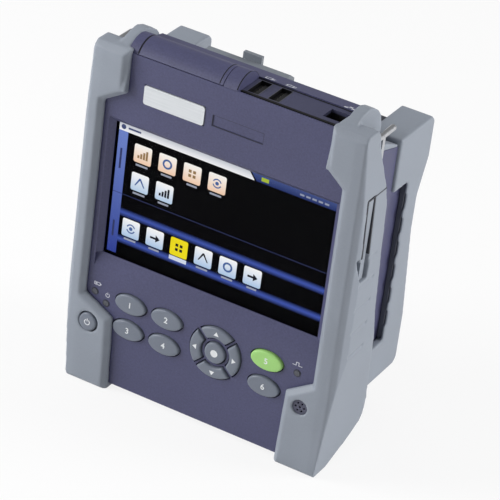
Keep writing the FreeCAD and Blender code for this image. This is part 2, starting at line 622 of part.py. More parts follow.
rear_solid.Base, rear_solid.Tool = form, rear_half
finish(cut("rear_housing", rear_solid,
           fuse("rear_tools", [rear_hollow, inlet_hole, screw_bore])), "rear_housing")

# ---------------------------------------------------------------------------------------------
# Rubber bumpers with the strap hooks, the stylus and the grille
# ---------------------------------------------------------------------------------------------


def edge_points(prefix, edge):
    """Bound Y, Z points of one of the bumper's curved edges."""
    return [(getattr(s, f"{prefix}_{i}_y"), getattr(s, f"{prefix}_{i}_z"))
            for i in range(len(edge))]


def inner_front_edges(body, side, inner, near=0.01):
    """Names of the front edges that face the screen on a bumper's inner outline."""
    names = []
    for name in level_edges(body, "Y", -s.bumper_proud):
        box = body.Shape.getElement(name).BoundBox
        reach = max(side * box.XMin, side * box.XMax)
        if reach < inner.value + near and box.ZLength > near:
            names.append(name)
    return names


def bumper_form(name, side):
    """The solid outside form of one bumper, before the case is taken out of it."""
    body = new_body(f"{name}_form")
    front = -s.bumper_proud
    inner = s.inner_left if side < 0 else s.inner_right
    side_edge = edge_points("side", SIDE_EDGE)
    foot_back = side_edge[-1][0] - s.lip
    extrude(body, "flank", "X", side * s.bumper_in, side * BUMPER_HALF,
            [polygon([(front + s.lip, 0), (front, s.lip), (front, s.shoulder_top - s.lip * 2),
                      (front + s.lip * 2, s.shoulder_top), (s.shelf_back, s.shoulder_top)]
                     + side_edge + [(side_edge[-1][0], s.lip), (foot_back, 0)])])
    extrude(body, "inner_outline", "Y", front - OUT, s.case_deep + OUT,
            [polygon(mirrored(side, [
                (s.bumper_in - OUT, -OUT), (s.inner_low, -OUT), (s.inner_low, 0),
                (s.inner_step, s.step_low), (inner, s.step_high),
                (inner, s.notch_low), (s.inner_top, s.notch_high),
                (s.inner_top, ABOVE), (s.bumper_in - OUT, ABOVE)]))], cut=True)
    dress(body, "Chamfer", "inner_bevel", s.inner_bevel, inner_front_edges(body, side, inner))
    extrude(body, "outer_outline", "Y", front - OUT, s.case_deep + OUT,
            [polygon(mirrored(side, [
                (BUMPER_HALF - s.foot_in, -OUT), (BUMPER_HALF - s.foot_in, 0),
                (BUMPER_HALF, s.side_low), (BUMPER_HALF, s.side_high),
                (BUMPER_HALF - s.waist_in, s.waist_z),
                (BUMPER_HALF - s.shoulder_in, s.shoulder_top),
                (BUMPER_HALF - s.shoulder_in, ABOVE),
                (BUMPER_HALF + OUT, ABOVE), (BUMPER_HALF + OUT, -OUT)]))], cut=True)
    arch_edge = edge_points("arch", ARCH_EDGE)
    extrude(body, "arch", "X", side * s.inner_top, side * s.arch_half,
            [polygon(arch_edge + [(front, s.arch_low)])])
    extrude(body, "arch_flare", "Z", s.notch_high, ABOVE,
            [polygon(mirrored(side, [
                (s.inner_top - OUT, s.arch_in_front), (s.inner_top, s.arch_in_front),
                (s.head_half, s.arch_in_back), (s.head_half, s.case_deep + OUT),
                (s.inner_top - OUT, s.case_deep + OUT)]))], cut=True)
    extrude(body, "rounded_front", "Z", -OUT, ABOVE,
            [polygon(mirrored(side, [
                (BUMPER_HALF - s.round_front, front - OUT), (BUMPER_HALF - s.round_front, front),
                (BUMPER_HALF - s.round_near, front + s.round_near_y),
                (BUMPER_HALF - s.round_mid, front + s.round_mid_y),
                (BUMPER_HALF, front + s.round_end_y), (BUMPER_HALF + OUT, front + s.round_end_y),
                (BUMPER_HALF + OUT, front - OUT)]))], cut=True)
    relief = edge_points("relief", RELIEF_EDGE)
    extrude(body, "relief", "X", side * (BUMPER_HALF - s.relief_in), side * (BUMPER_HALF + OUT),
            [polygon(relief + [(s.case_deep + OUT, relief[-1][1]), (s.case_deep + OUT, -OUT),
                               (relief[0][0], -OUT)])], cut=True)
    return body


hooks = {}
for name, side in (("left", -1), ("right", 1)):
    leg_low, leg_high = s.case_half - s.leg_in, s.case_half + s.leg_out
    if side < 0:
        leg_low, leg_high = -leg_high, -leg_low
    hook = fuse(f"strap_hook_{name}_form", [
        rod(f"hook_bar_{name}", "Y", s.hook_half, s.hook_end - s.hook_half - s.hook_root,
            side * (BUMPER_HALF - s.hook_in), s.hook_root, s.hook_z),
        placed(doc.addObject("Part::Sphere", f"hook_tip_{name}"),
               side * (BUMPER_HALF - s.hook_in), s.hook_end - s.hook_half, s.hook_z),
        block(f"hook_leg_{name}", leg_low, s.leg_front, s.wing_top, leg_high, s.leg_back,
              s.hook_z)])
    tie(doc.getObject(f"hook_tip_{name}"), "Radius", s.hook_half)
    hooks[name] = hook

grille_seat = rod("grille_seat", "Y", s.grille_half, s.grille_sink + s.grille_thick + OUT,
                  s.grille_x, -s.bumper_proud - OUT, s.grille_z)
power_hole = rod("power_hole", "Y", s.power_half + s.key_gap, s.bumper_proud + OUT,
                 s.power_x, -s.bumper_proud - OUT, s.power_z)
sound_way = rod("sound_way", "Y", s.sound_hole, s.bumper_proud, s.grille_x, -s.bumper_proud,
                s.grille_z)
grip = new_body("grip_lines")
grip.AllowCompound = True
for i in range(5):
    low = s.rib_low - s.rib_tall / 2 + s.rib_pitch * i
    extrude(grip, f"line_{i}", "X", BUMPER_HALF - s.rib_sink, BUMPER_HALF + OUT,
            [rectangle(s.rib_front, s.rib_back, low, low + s.rib_tall)])
stylus_slot = new_body("stylus_slot")
extrude(stylus_slot, "slot", "X", BUMPER_HALF - s.slot_sink, BUMPER_HALF + OUT,
        [rectangle(s.slot_front, s.slot_back, s.notch_mid_z, s.slot_top)])
extrude(stylus_slot, "finger_notch", "X", BUMPER_HALF - s.slot_sink, BUMPER_HALF + OUT,
        [polygon([(s.notch_front, s.notch_high_z), (s.slot_back, s.notch_high_z),
                  (s.notch_back, s.notch_mid_z), (s.slot_back, s.notch_low_z),
                  (s.notch_tip, s.notch_low_z)])])
extrude(stylus_slot, "seam_line", "X", BUMPER_HALF - s.waist_in - s.seam_sink, BUMPER_HALF + OUT,
        [rectangle(s.slot_front, s.case_deep, s.slot_top - s.seam, s.slot_top)])

left_form = bumper_form("bumper_left", -1)
right_form = bumper_form("bumper_right", 1)
finish(cut("bumper_left", left_form,
           fuse("bumper_left_tools", [form, power_hole, hooks["left"]])), "bumper_left")
finish(cut("bumper_right", right_form,
           fuse("bumper_right_tools", [form, grille_seat, sound_way, stylus_slot, grip,
                                       hooks["right"]])), "bumper_right")
for name, hook in hooks.items():
    finish(group(f"strap_hook_{name}", [hook]), f"strap_hook_{name}")
for name, side in (("left", -1), ("right", 1)):
    pad = new_body(f"strap_pad_{name}")
    extrude(pad, "pad", "X", side * (s.arch_half + s.fit), side * (s.case_half - s.fit),
            [polygon([(s.pad_front, s.wing_top), (s.wing_break, s.wing_top),
                      (s.case_deep, s.wing_back), (s.case_deep, s.wing_back + s.pad_tall / 2),
                      (s.pad_crest, s.wing_top + s.pad_tall), (s.pad_front, s.wing_top + s.pad_tall)])])
    finish(pad, f"strap_pad_{name}")

stylus = new_body("stylus")
stylus_back = BUMPER_HALF - s.slot_sink + s.stylus_float
stylus_top = s.slot_top - s.seam - s.stylus_float
extrude(stylus, "barrel", "X", stylus_back, BUMPER_HALF - s.stylus_sink,
        [polygon([(s.slot_front + s.stylus_gap, stylus_top),
                  (s.slot_front + s.stylus_gap, s.stylus_waist), (s.tail_front, s.stylus_waist),
                  (s.tail_front, s.notch_low_z + s.stylus_float),
                  (s.tail_back, s.notch_low_z + s.stylus_float), (s.tail_back, s.stylus_waist),
                  (s.slot_back - s.stylus_gap, s.stylus_waist),
                  (s.slot_back - s.stylus_gap, stylus_top)])])
dress(stylus, "Chamfer", "rounded_face", s.stylus_edge,
      straight_edges(stylus, "Z", [(BUMPER_HALF - s.stylus_sink, s.slot_front + s.stylus_gap),
                                   (BUMPER_HALF - s.stylus_sink, s.slot_back - s.stylus_gap)]))
finish(stylus, "stylus")

grille = new_body("speaker_grille")
grille_front = s.grille_sink - s.bumper_proud
ring = [(s.grille_x, s.grille_z)]
for i in range(6):
    turn = math.radians(60 * i)
    ring.append((s.grille_x + s.grille_ring * math.cos(turn),
                 s.grille_z + s.grille_ring * math.sin(turn)))
extrude(grille, "plate", "Y", grille_front, grille_front + s.grille_thick,
        [disc(s.grille_x, s.grille_z, s.grille_half)]
        + [disc(x, z, s.grille_hole) for x, z in ring])
finish(grille, "speaker_grille")

# ---------------------------------------------------------------------------------------------
# Display, keys, lights and plate
# ---------------------------------------------------------------------------------------------
glass = new_body("screen_glass")
glass_back = s.glass_front + s.glass_thick
extrude(glass, "pane", "Y", s.glass_front, glass_back,
        [rectangle(s.screen_x - s.glass_half_x, s.screen_x + s.glass_half_x,
                   s.screen_z - s.glass_half_z, s.screen_z + s.glass_half_z)])
finish(glass, "screen_glass")

lcd = new_body("lcd_panel")
extrude(lcd, "panel", "Y", glass_back, glass_back + s.lcd_thick,
        [rectangle(s.screen_x - s.lcd_half_x, s.screen_x + s.lcd_half_x,
                   s.screen_z - s.lcd_half_z, s.screen_z + s.lcd_half_z)])
finish(lcd, "lcd_panel")

for name, (x, z) in OVAL_KEYS.items():
    key = new_body(name)
    extrude(key, "cap", "Y", -s.key_proud, s.key_deep, [oval(x, z, s.key_half_x, s.key_half_z)])
    dress(key, "Fillet", "cap_round", s.key_crown, level_edges(key, "Y", -s.key_proud))
    extrude(key, "flange", "Y", s.flange_front, s.flange_front + s.key_flange,
            [oval(x, z, s.key_half_x + s.key_flange, s.key_half_z + s.key_flange)])
    finish(key, name)

centre = new_body("centre_key")
extrude(centre, "cap", "Y", -s.key_proud, s.key_deep, [disc(s.pad_x, s.pad_z, s.centre_key)])
dress(centre, "Fillet", "cap_round", s.key_crown, level_edges(centre, "Y", -s.key_proud))
extrude(centre, "flange", "Y", s.flange_front, s.flange_front + s.key_flange,
        [disc(s.pad_x, s.pad_z, s.centre_key + s.key_flange)])
finish(centre, "centre_key")

power = new_body("power_key")
power_front = -s.bumper_proud - s.power_proud
extrude(power, "cap", "Y", power_front, -s.key_flange - s.key_gap,
        [disc(s.power_x, s.power_z, s.power_half)])
dress(power, "Fillet", "cap_round", s.key_crown, level_edges(power, "Y", power_front))
extrude(power, "stem", "Y", power_front / 2, s.key_deep,
        [disc(s.power_x, s.power_z, s.power_stem)])
extrude(power, "flange", "Y", s.flange_front, s.flange_front + s.key_flange,
        [disc(s.power_x, s.power_z, s.power_stem + s.key_flange)])
finish(power, "power_key")

mat = new_body("keypad_mat")
extrude(mat, "sheet", "Y", s.mat_back, s.board_front,
        [rectangle(s.mat_left, s.mat_right, s.mat_low, MAT_HIGH)])
pad_middle = (s.pad_outer + s.pad_inner) / 2
domes = list(OVAL_KEYS.values()) + [(s.pad_x, s.pad_z), (s.power_x, s.power_z),
                                    (s.pad_x - pad_middle, s.pad_z),
                                    (s.pad_x + pad_middle, s.pad_z),
                                    (s.pad_x, s.pad_z - pad_middle),
                                    (s.pad_x, s.pad_z + pad_middle)]
extrude(mat, "domes", "Y", s.mat_front, s.mat_back, [disc(x, z, s.mat_dome) for x, z in domes])
finish(mat, "keypad_mat")

lights = new_body("status_lights")
lights.AllowCompound = True
extrude(lights, "pipes", "Y", -s.light_proud, s.front_wall + s.key_flange,
        [disc(x, z, s.light_half) for x, z in LIGHTS])
extrude(lights, "flanges", "Y", s.front_wall, s.front_wall + s.key_flange,
        [disc(x, z, s.light_flange) for x, z in LIGHTS])
finish(lights, "status_lights")

plate = new_body("name_plate")
extrude(plate, "plate", "Y", s.plate_sink - s.plate_thick, s.plate_sink,
        [rectangle(s.plate_left, s.plate_right, s.plate_low, s.plate_high)])
dress(plate, "Fillet", "corners", s.plate_round,
      straight_edges(plate, "Y", [(x, z) for x in (s.plate_left, s.plate_right)
                                  for z in (s.plate_low, s.plate_high)]))
finish(plate, "name_plate")

# ---------------------------------------------------------------------------------------------
# Board, speaker, battery and the screws inside the case
# ---------------------------------------------------------------------------------------------
board_back = s.board_front + s.board_thick
board = new_body("main_board")
extrude(board, "board", "Y", s.board_front, board_back,
        [rectangle(-s.board_half, s.board_half, s.board_low, s.board_high)]
        + [disc(side * s.post_x, z, s.small_screw)
           for side in (-1, 1) for z in (s.post_low, POST_HIGH)])
finish(board, "main_board")

board_screws = new_body("board_screws")
board_screws.AllowCompound = True
for name, radius, start, end in (("shanks", s.small_screw, s.small_tip, board_back),
                                 ("heads", s.small_head, board_back, board_back + s.small_thick)):
    extrude(board_screws, name, "Y", start, end,
            [disc(side * s.post_x, z, radius)
             for side in (-1, 1) for z in (s.post_low, POST_HIGH)])
finish(board_screws, "board_screws")

case_screws = new_body("housing_screws")
case_screws.AllowCompound = True
head_front = s.case_deep - s.head_thick - s.joint_gap
for name, radius, start, end in (("shanks", s.screw_half, s.screw_tip, head_front),
                                 ("heads", s.head_radius, head_front, head_front + s.head_thick)):
    extrude(case_screws, name, "Y", start, end,
            [disc(side * s.screw_x, z, radius)
             for side in (-1, 1) for z in (s.screw_low, s.screw_high)])
finish(case_screws, "housing_screws")

finish(rod("speaker", "Y", s.speaker_half, s.speaker_thick, s.speaker_x, s.front_wall,
           s.grille_z), "speaker")
finish(block("battery_pack", -s.battery_half, cover_front - s.battery_thick, s.battery_low,
             s.battery_half, cover_front, s.battery_high), "battery_pack")
finish(block("battery_cover", -cover_half + s.fit, cover_front, cover_low + s.fit,
             cover_half - s.fit, s.case_deep, cover_high - s.fit), "battery_cover")

dock = new_body("docking_socket")
extrude(dock, "shell", "Y", s.case_deep - s.dock_deep, s.case_deep,
        [rectangle(-s.dock_half, s.dock_half, s.dock_low, s.dock_high)])
extrude(dock, "mouth", "Y", s.case_deep - s.dock_deep + s.dock_wall, s.case_deep,
        [rectangle(-s.dock_half + s.dock_wall, s.dock_half - s.dock_wall,
                   s.dock_low + s.dock_wall, s.dock_high - s.dock_wall)], cut=True)
finish(dock, "docking_socket")

inlet = new_body("power_inlet")
extrude(inlet, "barrel", "X", -s.case_half, s.inlet_long - s.case_half,
        [disc(s.inlet_y, s.inlet_z, s.inlet_half)])
extrude(inlet, "bore", "X", -s.case_half, s.inlet_deep - s.case_half,
        [disc(s.inlet_y, s.inlet_z, s.inlet_bore), disc(s.inlet_y, s.inlet_z, s.inlet_pin)],
        cut=True)
finish(inlet, "power_inlet")

# ---------------------------------------------------------------------------------------------
# Connectors in the top, and the door over the optical ones
# ---------------------------------------------------------------------------------------------
half_wide, half_long = s.usb_wide / 2, s.usb_long / 2
panel = new_body("port_panel")
extrude(panel, "plate", "Z", s.bay_ledge, s.port_top,
        [rectangle(s.bay_left + s.fit, s.head_half - s.fit, s.plate_front, s.plate_back),
         rectangle(s.usb_a_x - half_wide, s.usb_a_x + half_wide,
                   s.port_y - half_long, s.port_y + half_long),
         rectangle(s.usb_b_x - half_wide, s.usb_b_x + half_wide,
                   s.port_y - half_long, s.port_y + half_long),
         rectangle(s.net_x - s.mouth_x / 2, s.net_x + s.mouth_x / 2,
                   s.port_y - s.mouth_y / 2, s.port_y + s.mouth_y / 2)])
finish(panel, "port_panel")

for name, x in (("usb_port_left", s.usb_a_x), ("usb_port_right", s.usb_b_x)):
    usb = new_body(name)
    extrude(usb, "shell", "Z", s.port_top - s.usb_tall, s.port_top,
            [rectangle(x - half_wide, x + half_wide, s.port_y - half_long, s.port_y + half_long)])
    mouth = rectangle(x - half_wide + s.shell_wall, x + half_wide - s.shell_wall,
                      s.port_y - half_long + s.shell_wall, s.port_y + half_long - s.shell_wall)
    tongue = rectangle(x + s.tongue_off - s.tongue_thick / 2, x + s.tongue_off + s.tongue_thick / 2,
                       s.port_y - s.tongue_long / 2, s.port_y + s.tongue_long / 2)
    extrude(usb, "cavity", "Z", s.port_top - s.usb_deep, s.port_top, [mouth, tongue], cut=True)
    extrude(usb, "tongue_end", "Z", s.port_top - s.tongue_sink, s.port_top, [mouth], cut=True)
    finish(usb, name)

net = new_body("network_port")
extrude(net, "shell", "Z", s.bay_ledge - s.net_tall, s.bay_ledge,
        [rectangle(s.net_x - s.net_wide / 2, s.net_x + s.net_wide / 2,
                   s.port_y - s.net_long / 2, s.port_y + s.net_long / 2)])
latch_front = s.port_y - s.mouth_y / 2
extrude(net, "mouth", "Z", s.bay_ledge - s.mouth_deep, s.bay_ledge,
        [polygon([(s.net_x - s.mouth_x / 2, latch_front + s.latch_y),
                  (s.net_x - s.latch_x / 2, latch_front + s.latch_y),
                  (s.net_x - s.latch_x / 2, latch_front),
                  (s.net_x + s.latch_x / 2, latch_front),
                  (s.net_x + s.latch_x / 2, latch_front + s.latch_y),
                  (s.net_x + s.mouth_x / 2, latch_front + s.latch_y),
                  (s.net_x + s.mouth_x / 2, latch_front + s.mouth_y),
                  (s.net_x - s.mouth_x / 2, latch_front + s.mouth_y)])], cut=True)
finish(net, "network_port")


def adapter(node, x, y, floor, radius, flange, tall):
    """A fibre adapter: a flange, a barrel and a nose with the ferrule bore."""
    body = new_body(node)
    extrude(body, "flange", "Z", floor, floor + s.flange_tall, [disc(x, y, flange)])
    extrude(body, "barrel", "Z", floor, floor + tall - s.nose_tall, [disc(x, y, radius)])
    extrude(body, "nose", "Z", floor, floor + tall, [disc(x, y, s.nose_half)])
    extrude(body, "ferrule", "Z", floor + tall - s.bore_deep, floor + tall,
            [disc(x, y, s.ferrule_bore)], cut=True)
    return finish(body, node)


adapter("fault_locator_port", s.locator_x, s.adapter_y, s.well_floor, s.adapter_half,
        s.adapter_flange, s.adapter_tall)
adapter("power_meter_port", s.meter_x, s.adapter_y, s.well_floor, s.adapter_half,
        s.adapter_flange, s.adapter_tall)

door = new_body("port_door")
door_back = s.crown_back - s.joint_gap
extrude(door, "crown", "X", s.door_left, s.door_right,
        [bow(s.crown_front, door_back, s.door_low, s.door_rise)])
extrude(door, "underside", "X", s.door_left + s.door_skin, s.door_right - s.door_skin,
        [bow(s.well_front + s.door_skin, s.well_back - s.door_skin, s.door_low,
             s.door_rise - s.door_skin * 1.4)], cut=True)
extrude(door, "hinge_bore", "X", s.door_left, s.door_right,
        [disc(s.hinge_y, s.hinge_z, s.hinge_pin + s.hinge_play)], cut=True)
finish(door, "port_door")
finish(rod("door_hinge_pin", "X", s.hinge_pin, pin_length, pin_left, s.hinge_y, s.hinge_z),
       "door_hinge_pin")

# ---------------------------------------------------------------------------------------------
# Plug-in module: case, cover over its optical ports, guards and what is inside
# ---------------------------------------------------------------------------------------------
nest_left, nest_right = s.lid_left + s.lid_wall, s.lid_right - s.lid_wall
nest_wall = s.lid_wall + s.fit
module_inner = s.module_half - s.wall
module_floor = module_front + s.wall
module_posts = [(side * s.module_post_x, z) for side in (-1, 1)
                for z in (s.module_post_low, s.module_post_high)]
module_outline = rectangle(-s.module_half, s.module_half, s.module_low, s.module_top)
lug_inner_left, lug_inner_right = s.lid_left - s.fit, s.lid_right + s.fit

module_hollow = new_body("module_hollow")
room_outline = polygon([
    (-module_inner, s.module_low + s.wall), (module_inner, s.module_low + s.wall),
    (module_inner, s.module_top - s.wall), (nest_right + nest_wall, s.module_top - s.wall),
    (nest_right + nest_wall, s.nest_floor - s.wall), (nest_left - nest_wall, s.nest_floor - s.wall),
    (nest_left - nest_wall, s.module_top - s.wall), (-module_inner, s.module_top - s.wall)])
extrude(module_hollow, "low_room", "Y", module_floor, s.module_board_y,
        [room_outline] + [disc(x, z, s.post_half) for x, z in module_posts])
extrude(module_hollow, "deep_room", "Y", s.module_board_y, s.module_split + OUT, [room_outline])

module_case = new_body("module_case_form")
extrude(module_case, "box", "Y", module_front, s.module_split, [module_outline])
lug = polygon([(s.lid_pin_y - s.lug_half, s.module_top - s.wall / 2),
               (s.lid_pin_y + s.lug_half, s.module_top - s.wall / 2),
               (s.lid_pin_y + s.lug_half, s.lid_pin_z + s.lug_half / 2),
               (s.lid_pin_y + s.lug_half / 2, s.lid_pin_z + s.lug_half),
               (s.lid_pin_y - s.lug_half / 2, s.lid_pin_z + s.lug_half),
               (s.lid_pin_y - s.lug_half, s.lid_pin_z + s.lug_half / 2)])
extrude(module_case, "lug_left", "X", lug_inner_left - s.lug_thick, lug_inner_left, [lug])
extrude(module_case, "lug_right", "X", lug_inner_right, lug_inner_right + s.lug_thick, [lug])
extrude(module_case, "nest", "Z", s.nest_floor, s.module_top,
        [rectangle(nest_left, nest_right, s.nest_front, s.nest_back)], cut=True)
extrude(module_case, "plug_slot", "Y", module_front, module_floor,
        [rectangle(-s.dock_half + s.dock_wall + s.plug_gap, s.dock_half - s.dock_wall - s.plug_gap,
                   s.dock_low + s.dock_wall + s.plug_gap,
                   s.dock_high - s.dock_wall - s.plug_gap)], cut=True)
extrude(module_case, "thumb_holes", "Y", module_front, module_floor,
        [disc(side * s.thumb_x, s.thumb_z, s.thumb_stem) for side in (-1, 1)], cut=True)
extrude(module_case, "post_bores", "Y", module_front + s.wall / 2, s.module_board_y,
        [disc(x, z, s.small_screw) for x, z in module_posts], cut=True)
lid_trough = rod("lid_trough", "X", s.lid_sweep, lug_inner_right - lug_inner_left,
                 lug_inner_left, s.lid_pin_y, s.lid_pin_z)
lid_pin_left = lug_inner_left - s.lug_thick
lid_pin_long = lug_inner_right + s.lug_thick - lid_pin_left
lid_pin_hole = rod("lid_pin_hole", "X", s.hinge_pin, lid_pin_long, lid_pin_left, s.lid_pin_y,
                   s.lid_pin_z)
finish(cut("module_housing", module_case,
           fuse("module_tools", [module_hollow, lid_trough, lid_pin_hole])), "module_housing")

rear_cover = new_body("module_rear_cover")
extrude(rear_cover, "box", "Y", s.module_split, s.module_back, [module_outline])
extrude(rear_cover, "room", "Y", s.module_split, s.module_back - s.wall,
        [rectangle(-module_inner, module_inner, s.module_low + s.wall, s.module_top - s.wall)],
        cut=True)
extrude(rear_cover, "thumb_holes", "Y", s.module_back - s.wall, s.module_back,
        [disc(side * s.thumb_x, s.thumb_z, s.thumb_stem) for side in (-1, 1)], cut=True)
finish(rear_cover, "module_rear_cover")

envelope = block("module_envelope", -s.module_half, s.case_deep - OUT, s.module_low,
                 s.module_half, s.module_back, s.module_top)
for name, side in (("left", -1), ("right", 1)):
    guard = new_body(f"guard_form_{name}")
    back, cut_in = s.guard_back, s.guard_round
    extrude(guard, "form", "X", side * s.guard_in, side * s.guard_half,
            [polygon([(module_front, s.guard_low), (back - cut_in, s.guard_low),
                      (back, s.guard_low + cut_in), (back, s.guard_low_z),
                      (s.guard_waist, s.guard_waist_low), (s.guard_waist, s.guard_waist_high),
                      (back, s.guard_high_z), (back, s.guard_top - cut_in),
                      (back - cut_in, s.guard_top), (module_front, s.guard_top)])])
    extrude(guard, "grip", "X", side * s.guard_in, side * s.guard_half,
            [rectangle(module_front - OUT, s.grip_back, s.grip_low, s.grip_high)], cut=True)
    hollows = [s.scallop_low + s.scallop_pitch * i for i in range(6)]
    extrude(guard, "scallops", "X", side * s.guard_in, side * s.guard_half,
            [polygon([(s.grip_back - OUT, z - s.scallop_half), (s.grip_back, z - s.scallop_half),
                      (s.grip_back + s.scallop_deep, z - s.scallop_flat),
                      (s.grip_back + s.scallop_deep, z + s.scallop_flat),
                      (s.grip_back, z + s.scallop_half), (s.grip_back - OUT, z + s.scallop_half)])
             for z in hollows], cut=True)
    strip_back = s.grip_back + s.strip_sink + s.strip_deep
    extrude(guard, "strip_seat", "X", side * s.guard_in, side * (s.guard_half - s.skin),
            [rectangle(module_front - OUT, strip_back, s.grip_low, s.grip_high)], cut=True)
    finish(cut(f"module_bumper_{name}", guard, envelope), f"module_bumper_{name}")
    strip = new_body(f"module_grip_{name}")
    extrude(strip, "strip", "X", side * (s.module_half + s.fit / 2),
            side * (s.guard_half - s.skin - s.fit / 2),
            [rectangle(s.grip_back + s.strip_sink, strip_back - s.fit / 2,
                       s.grip_low + s.fit / 2, s.grip_high - s.fit / 2)])
    finish(strip, f"module_grip_{name}")

lid = new_body("module_port_cover")
extrude(lid, "box", "Z", s.lid_low, s.lid_top,
        [rectangle(s.lid_left, s.lid_right, s.lid_front, s.lid_back)])
dress(lid, "Chamfer", "top_edges", s.lid_wall * 0.7, level_edges(lid, "Z", s.lid_top))
extrude(lid, "inside", "Z", s.lid_low, s.lid_top - s.lid_wall,
        [rectangle(s.lid_left + s.lid_wall, s.lid_right - s.lid_wall,
                   s.lid_pin_y + s.lug_half, s.lid_back - s.lid_wall)], cut=True)
extrude(lid, "tab", "X", s.tab_left, s.tab_right,
        [polygon([(s.tab_front, s.lid_top - s.lid_wall), (s.tab_back, s.lid_top - s.lid_wall),
                  (s.tab_back, s.tab_top), (s.tab_front, s.tab_top)])])
extrude(lid, "hinge_bore", "X", s.lid_left, s.lid_right,
        [disc(s.lid_pin_y, s.lid_pin_z, s.hinge_pin + s.hinge_play)], cut=True)
finish(lid, "module_port_cover")
finish(rod("module_cover_pin", "X", s.hinge_pin, lid_pin_long, lid_pin_left, s.lid_pin_y,
           s.lid_pin_z), "module_cover_pin")

adapter("optical_port_left", s.optic_a_x, s.optic_y, s.nest_floor, s.optic_half, s.optic_flange,
        s.optic_tall)
adapter("optical_port_right", s.optic_b_x, s.optic_y, s.nest_floor, s.optic_half,
        s.optic_flange, s.optic_tall)

module_board_back = s.module_board_y + s.board_thick
module_board = new_body("module_board")
extrude(module_board, "board", "Y", s.module_board_y, module_board_back,
        [rectangle(-s.module_board_x, s.module_board_x, s.module_board_low, s.module_board_high)]
        + [disc(x, z, s.small_screw) for x, z in module_posts])
finish(module_board, "module_board")

module_screws = new_body("module_screws")
module_screws.AllowCompound = True
for name, radius, start, end in (
        ("shanks", s.small_screw, module_front + s.wall / 2, module_board_back),
        ("heads", s.small_head, module_board_back, module_board_back + s.small_thick)):
    extrude(module_screws, name, "Y", start, end, [disc(x, z, radius) for x, z in module_posts])
finish(module_screws, "module_screws")

plug = block("docking_plug", -s.dock_half + s.dock_wall + s.plug_gap,
             s.case_deep - s.dock_plug, s.dock_low + s.dock_wall + s.plug_gap,
             s.dock_half - s.dock_wall - s.plug_gap, s.module_board_y,
             s.dock_high - s.dock_wall - s.plug_gap)
finish(plug, "docking_plug")

thumbs = new_body("thumb_screws")
thumbs.AllowCompound = True
extrude(thumbs, "stems", "Y", s.case_deep - s.thumb_reach, s.module_back,
        [disc(side * s.thumb_x, s.thumb_z, s.thumb_stem) for side in (-1, 1)])
extrude(thumbs, "heads", "Y", s.module_back, s.module_back + s.thumb_tall,
        [disc(side * s.thumb_x, s.thumb_z, s.thumb_half) for side in (-1, 1)])
finish(thumbs, "thumb_screws")

# ---------------------------------------------------------------------------------------------
# Check and export
# ---------------------------------------------------------------------------------------------
doc.recompute()
faults = [f"{thing.Name}: {thing.State}" for thing in doc.Objects
          if "Invalid" in thing.State or "Error" in thing.State]
faults += [f"{node}: bad shape" for node, thing in NODES.items()
           if thing.Shape.isNull() or not thing.Shape.isValid() or not thing.Shape.Solids]
if faults:
    raise RuntimeError("; ".join(faults))

os.makedirs("parts", exist_ok=True)
for node, thing in NODES.items():
    thing.Shape.exportStep(f"parts/{thing.Label}.step")
print(f"{len(NODES)} pieces")
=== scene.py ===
"""A handheld optical time domain reflectometer, dressed for its portrait.

The sections follow the instrument as it is put together: the front housing and what is laid into
it, the rear housing, the connectors in the top, the rubber around the case, and the plug-in module.
"""
import math

import bmesh
import bpy
from mathutils import Matrix, Vector


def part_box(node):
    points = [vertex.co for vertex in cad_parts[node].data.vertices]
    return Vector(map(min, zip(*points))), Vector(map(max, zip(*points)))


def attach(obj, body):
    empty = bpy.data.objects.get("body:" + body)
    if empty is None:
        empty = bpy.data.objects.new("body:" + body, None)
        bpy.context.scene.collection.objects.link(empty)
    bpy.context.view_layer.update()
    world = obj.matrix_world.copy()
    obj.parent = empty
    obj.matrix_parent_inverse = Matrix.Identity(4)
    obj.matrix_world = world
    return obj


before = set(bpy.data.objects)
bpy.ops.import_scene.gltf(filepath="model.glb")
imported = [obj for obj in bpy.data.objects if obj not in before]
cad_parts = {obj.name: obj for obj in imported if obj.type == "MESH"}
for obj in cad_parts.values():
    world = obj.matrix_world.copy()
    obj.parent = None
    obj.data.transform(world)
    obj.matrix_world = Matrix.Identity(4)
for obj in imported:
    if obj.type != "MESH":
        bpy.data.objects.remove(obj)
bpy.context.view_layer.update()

scene = bpy.context.scene
scene.view_settings.view_transform = "Standard"

# ---- The table and the studio ------------------------------------------------------------------
# The instrument stands on its two bumper feet on a white table. A soft lamp stands near at the left
# in front, a larger one further off at the right and behind, and a weak one hangs above.


def linear(red, green, blue):
    """A colour from its 0 to 255 values as they show on a screen."""
    shares = [channel / 255 for channel in (red, green, blue)]
    return tuple(c / 12.92 if c <= 0.04045 else ((c + 0.055) / 1.055) ** 2.4 for c in shares)


def shaded(colour, share):
    """A colour made darker or lighter by a share."""
    return tuple(min(1.0, channel * share) for channel in colour)


class Wire:
    """A socket in a material's tree. Sums and products of wires become Math nodes."""

    def __init__(self, tree, socket):
        self.tree = tree
        self.socket = socket

    def math(self, operation, *values):
        node = self.tree.nodes.new("ShaderNodeMath")
        node.operation = operation
        for place, value in enumerate(values):
            if isinstance(value, Wire):
                self.tree.links.new(value.socket, node.inputs[place])
            else:
                node.inputs[place].default_value = value
        return Wire(self.tree, node.outputs[0])

    def __add__(self, other):
        return self.math("ADD", self, other)

    def __radd__(self, other):
        return self.math("ADD", other, self)

    def __sub__(self, other):
        return self.math("SUBTRACT", self, other)

    def __rsub__(self, other):
        return self.math("SUBTRACT", other, self)

    def __mul__(self, other):
        return self.math("MULTIPLY", self, other)

    def __rmul__(self, other):
        return self.math("MULTIPLY", other, self)

    def __gt__(self, other):
        return self.math("GREATER_THAN", self, other)

    def __lt__(self, other):
        return self.math("LESS_THAN", self, other)

    def __abs__(self):
        return self.math("ABSOLUTE", self)


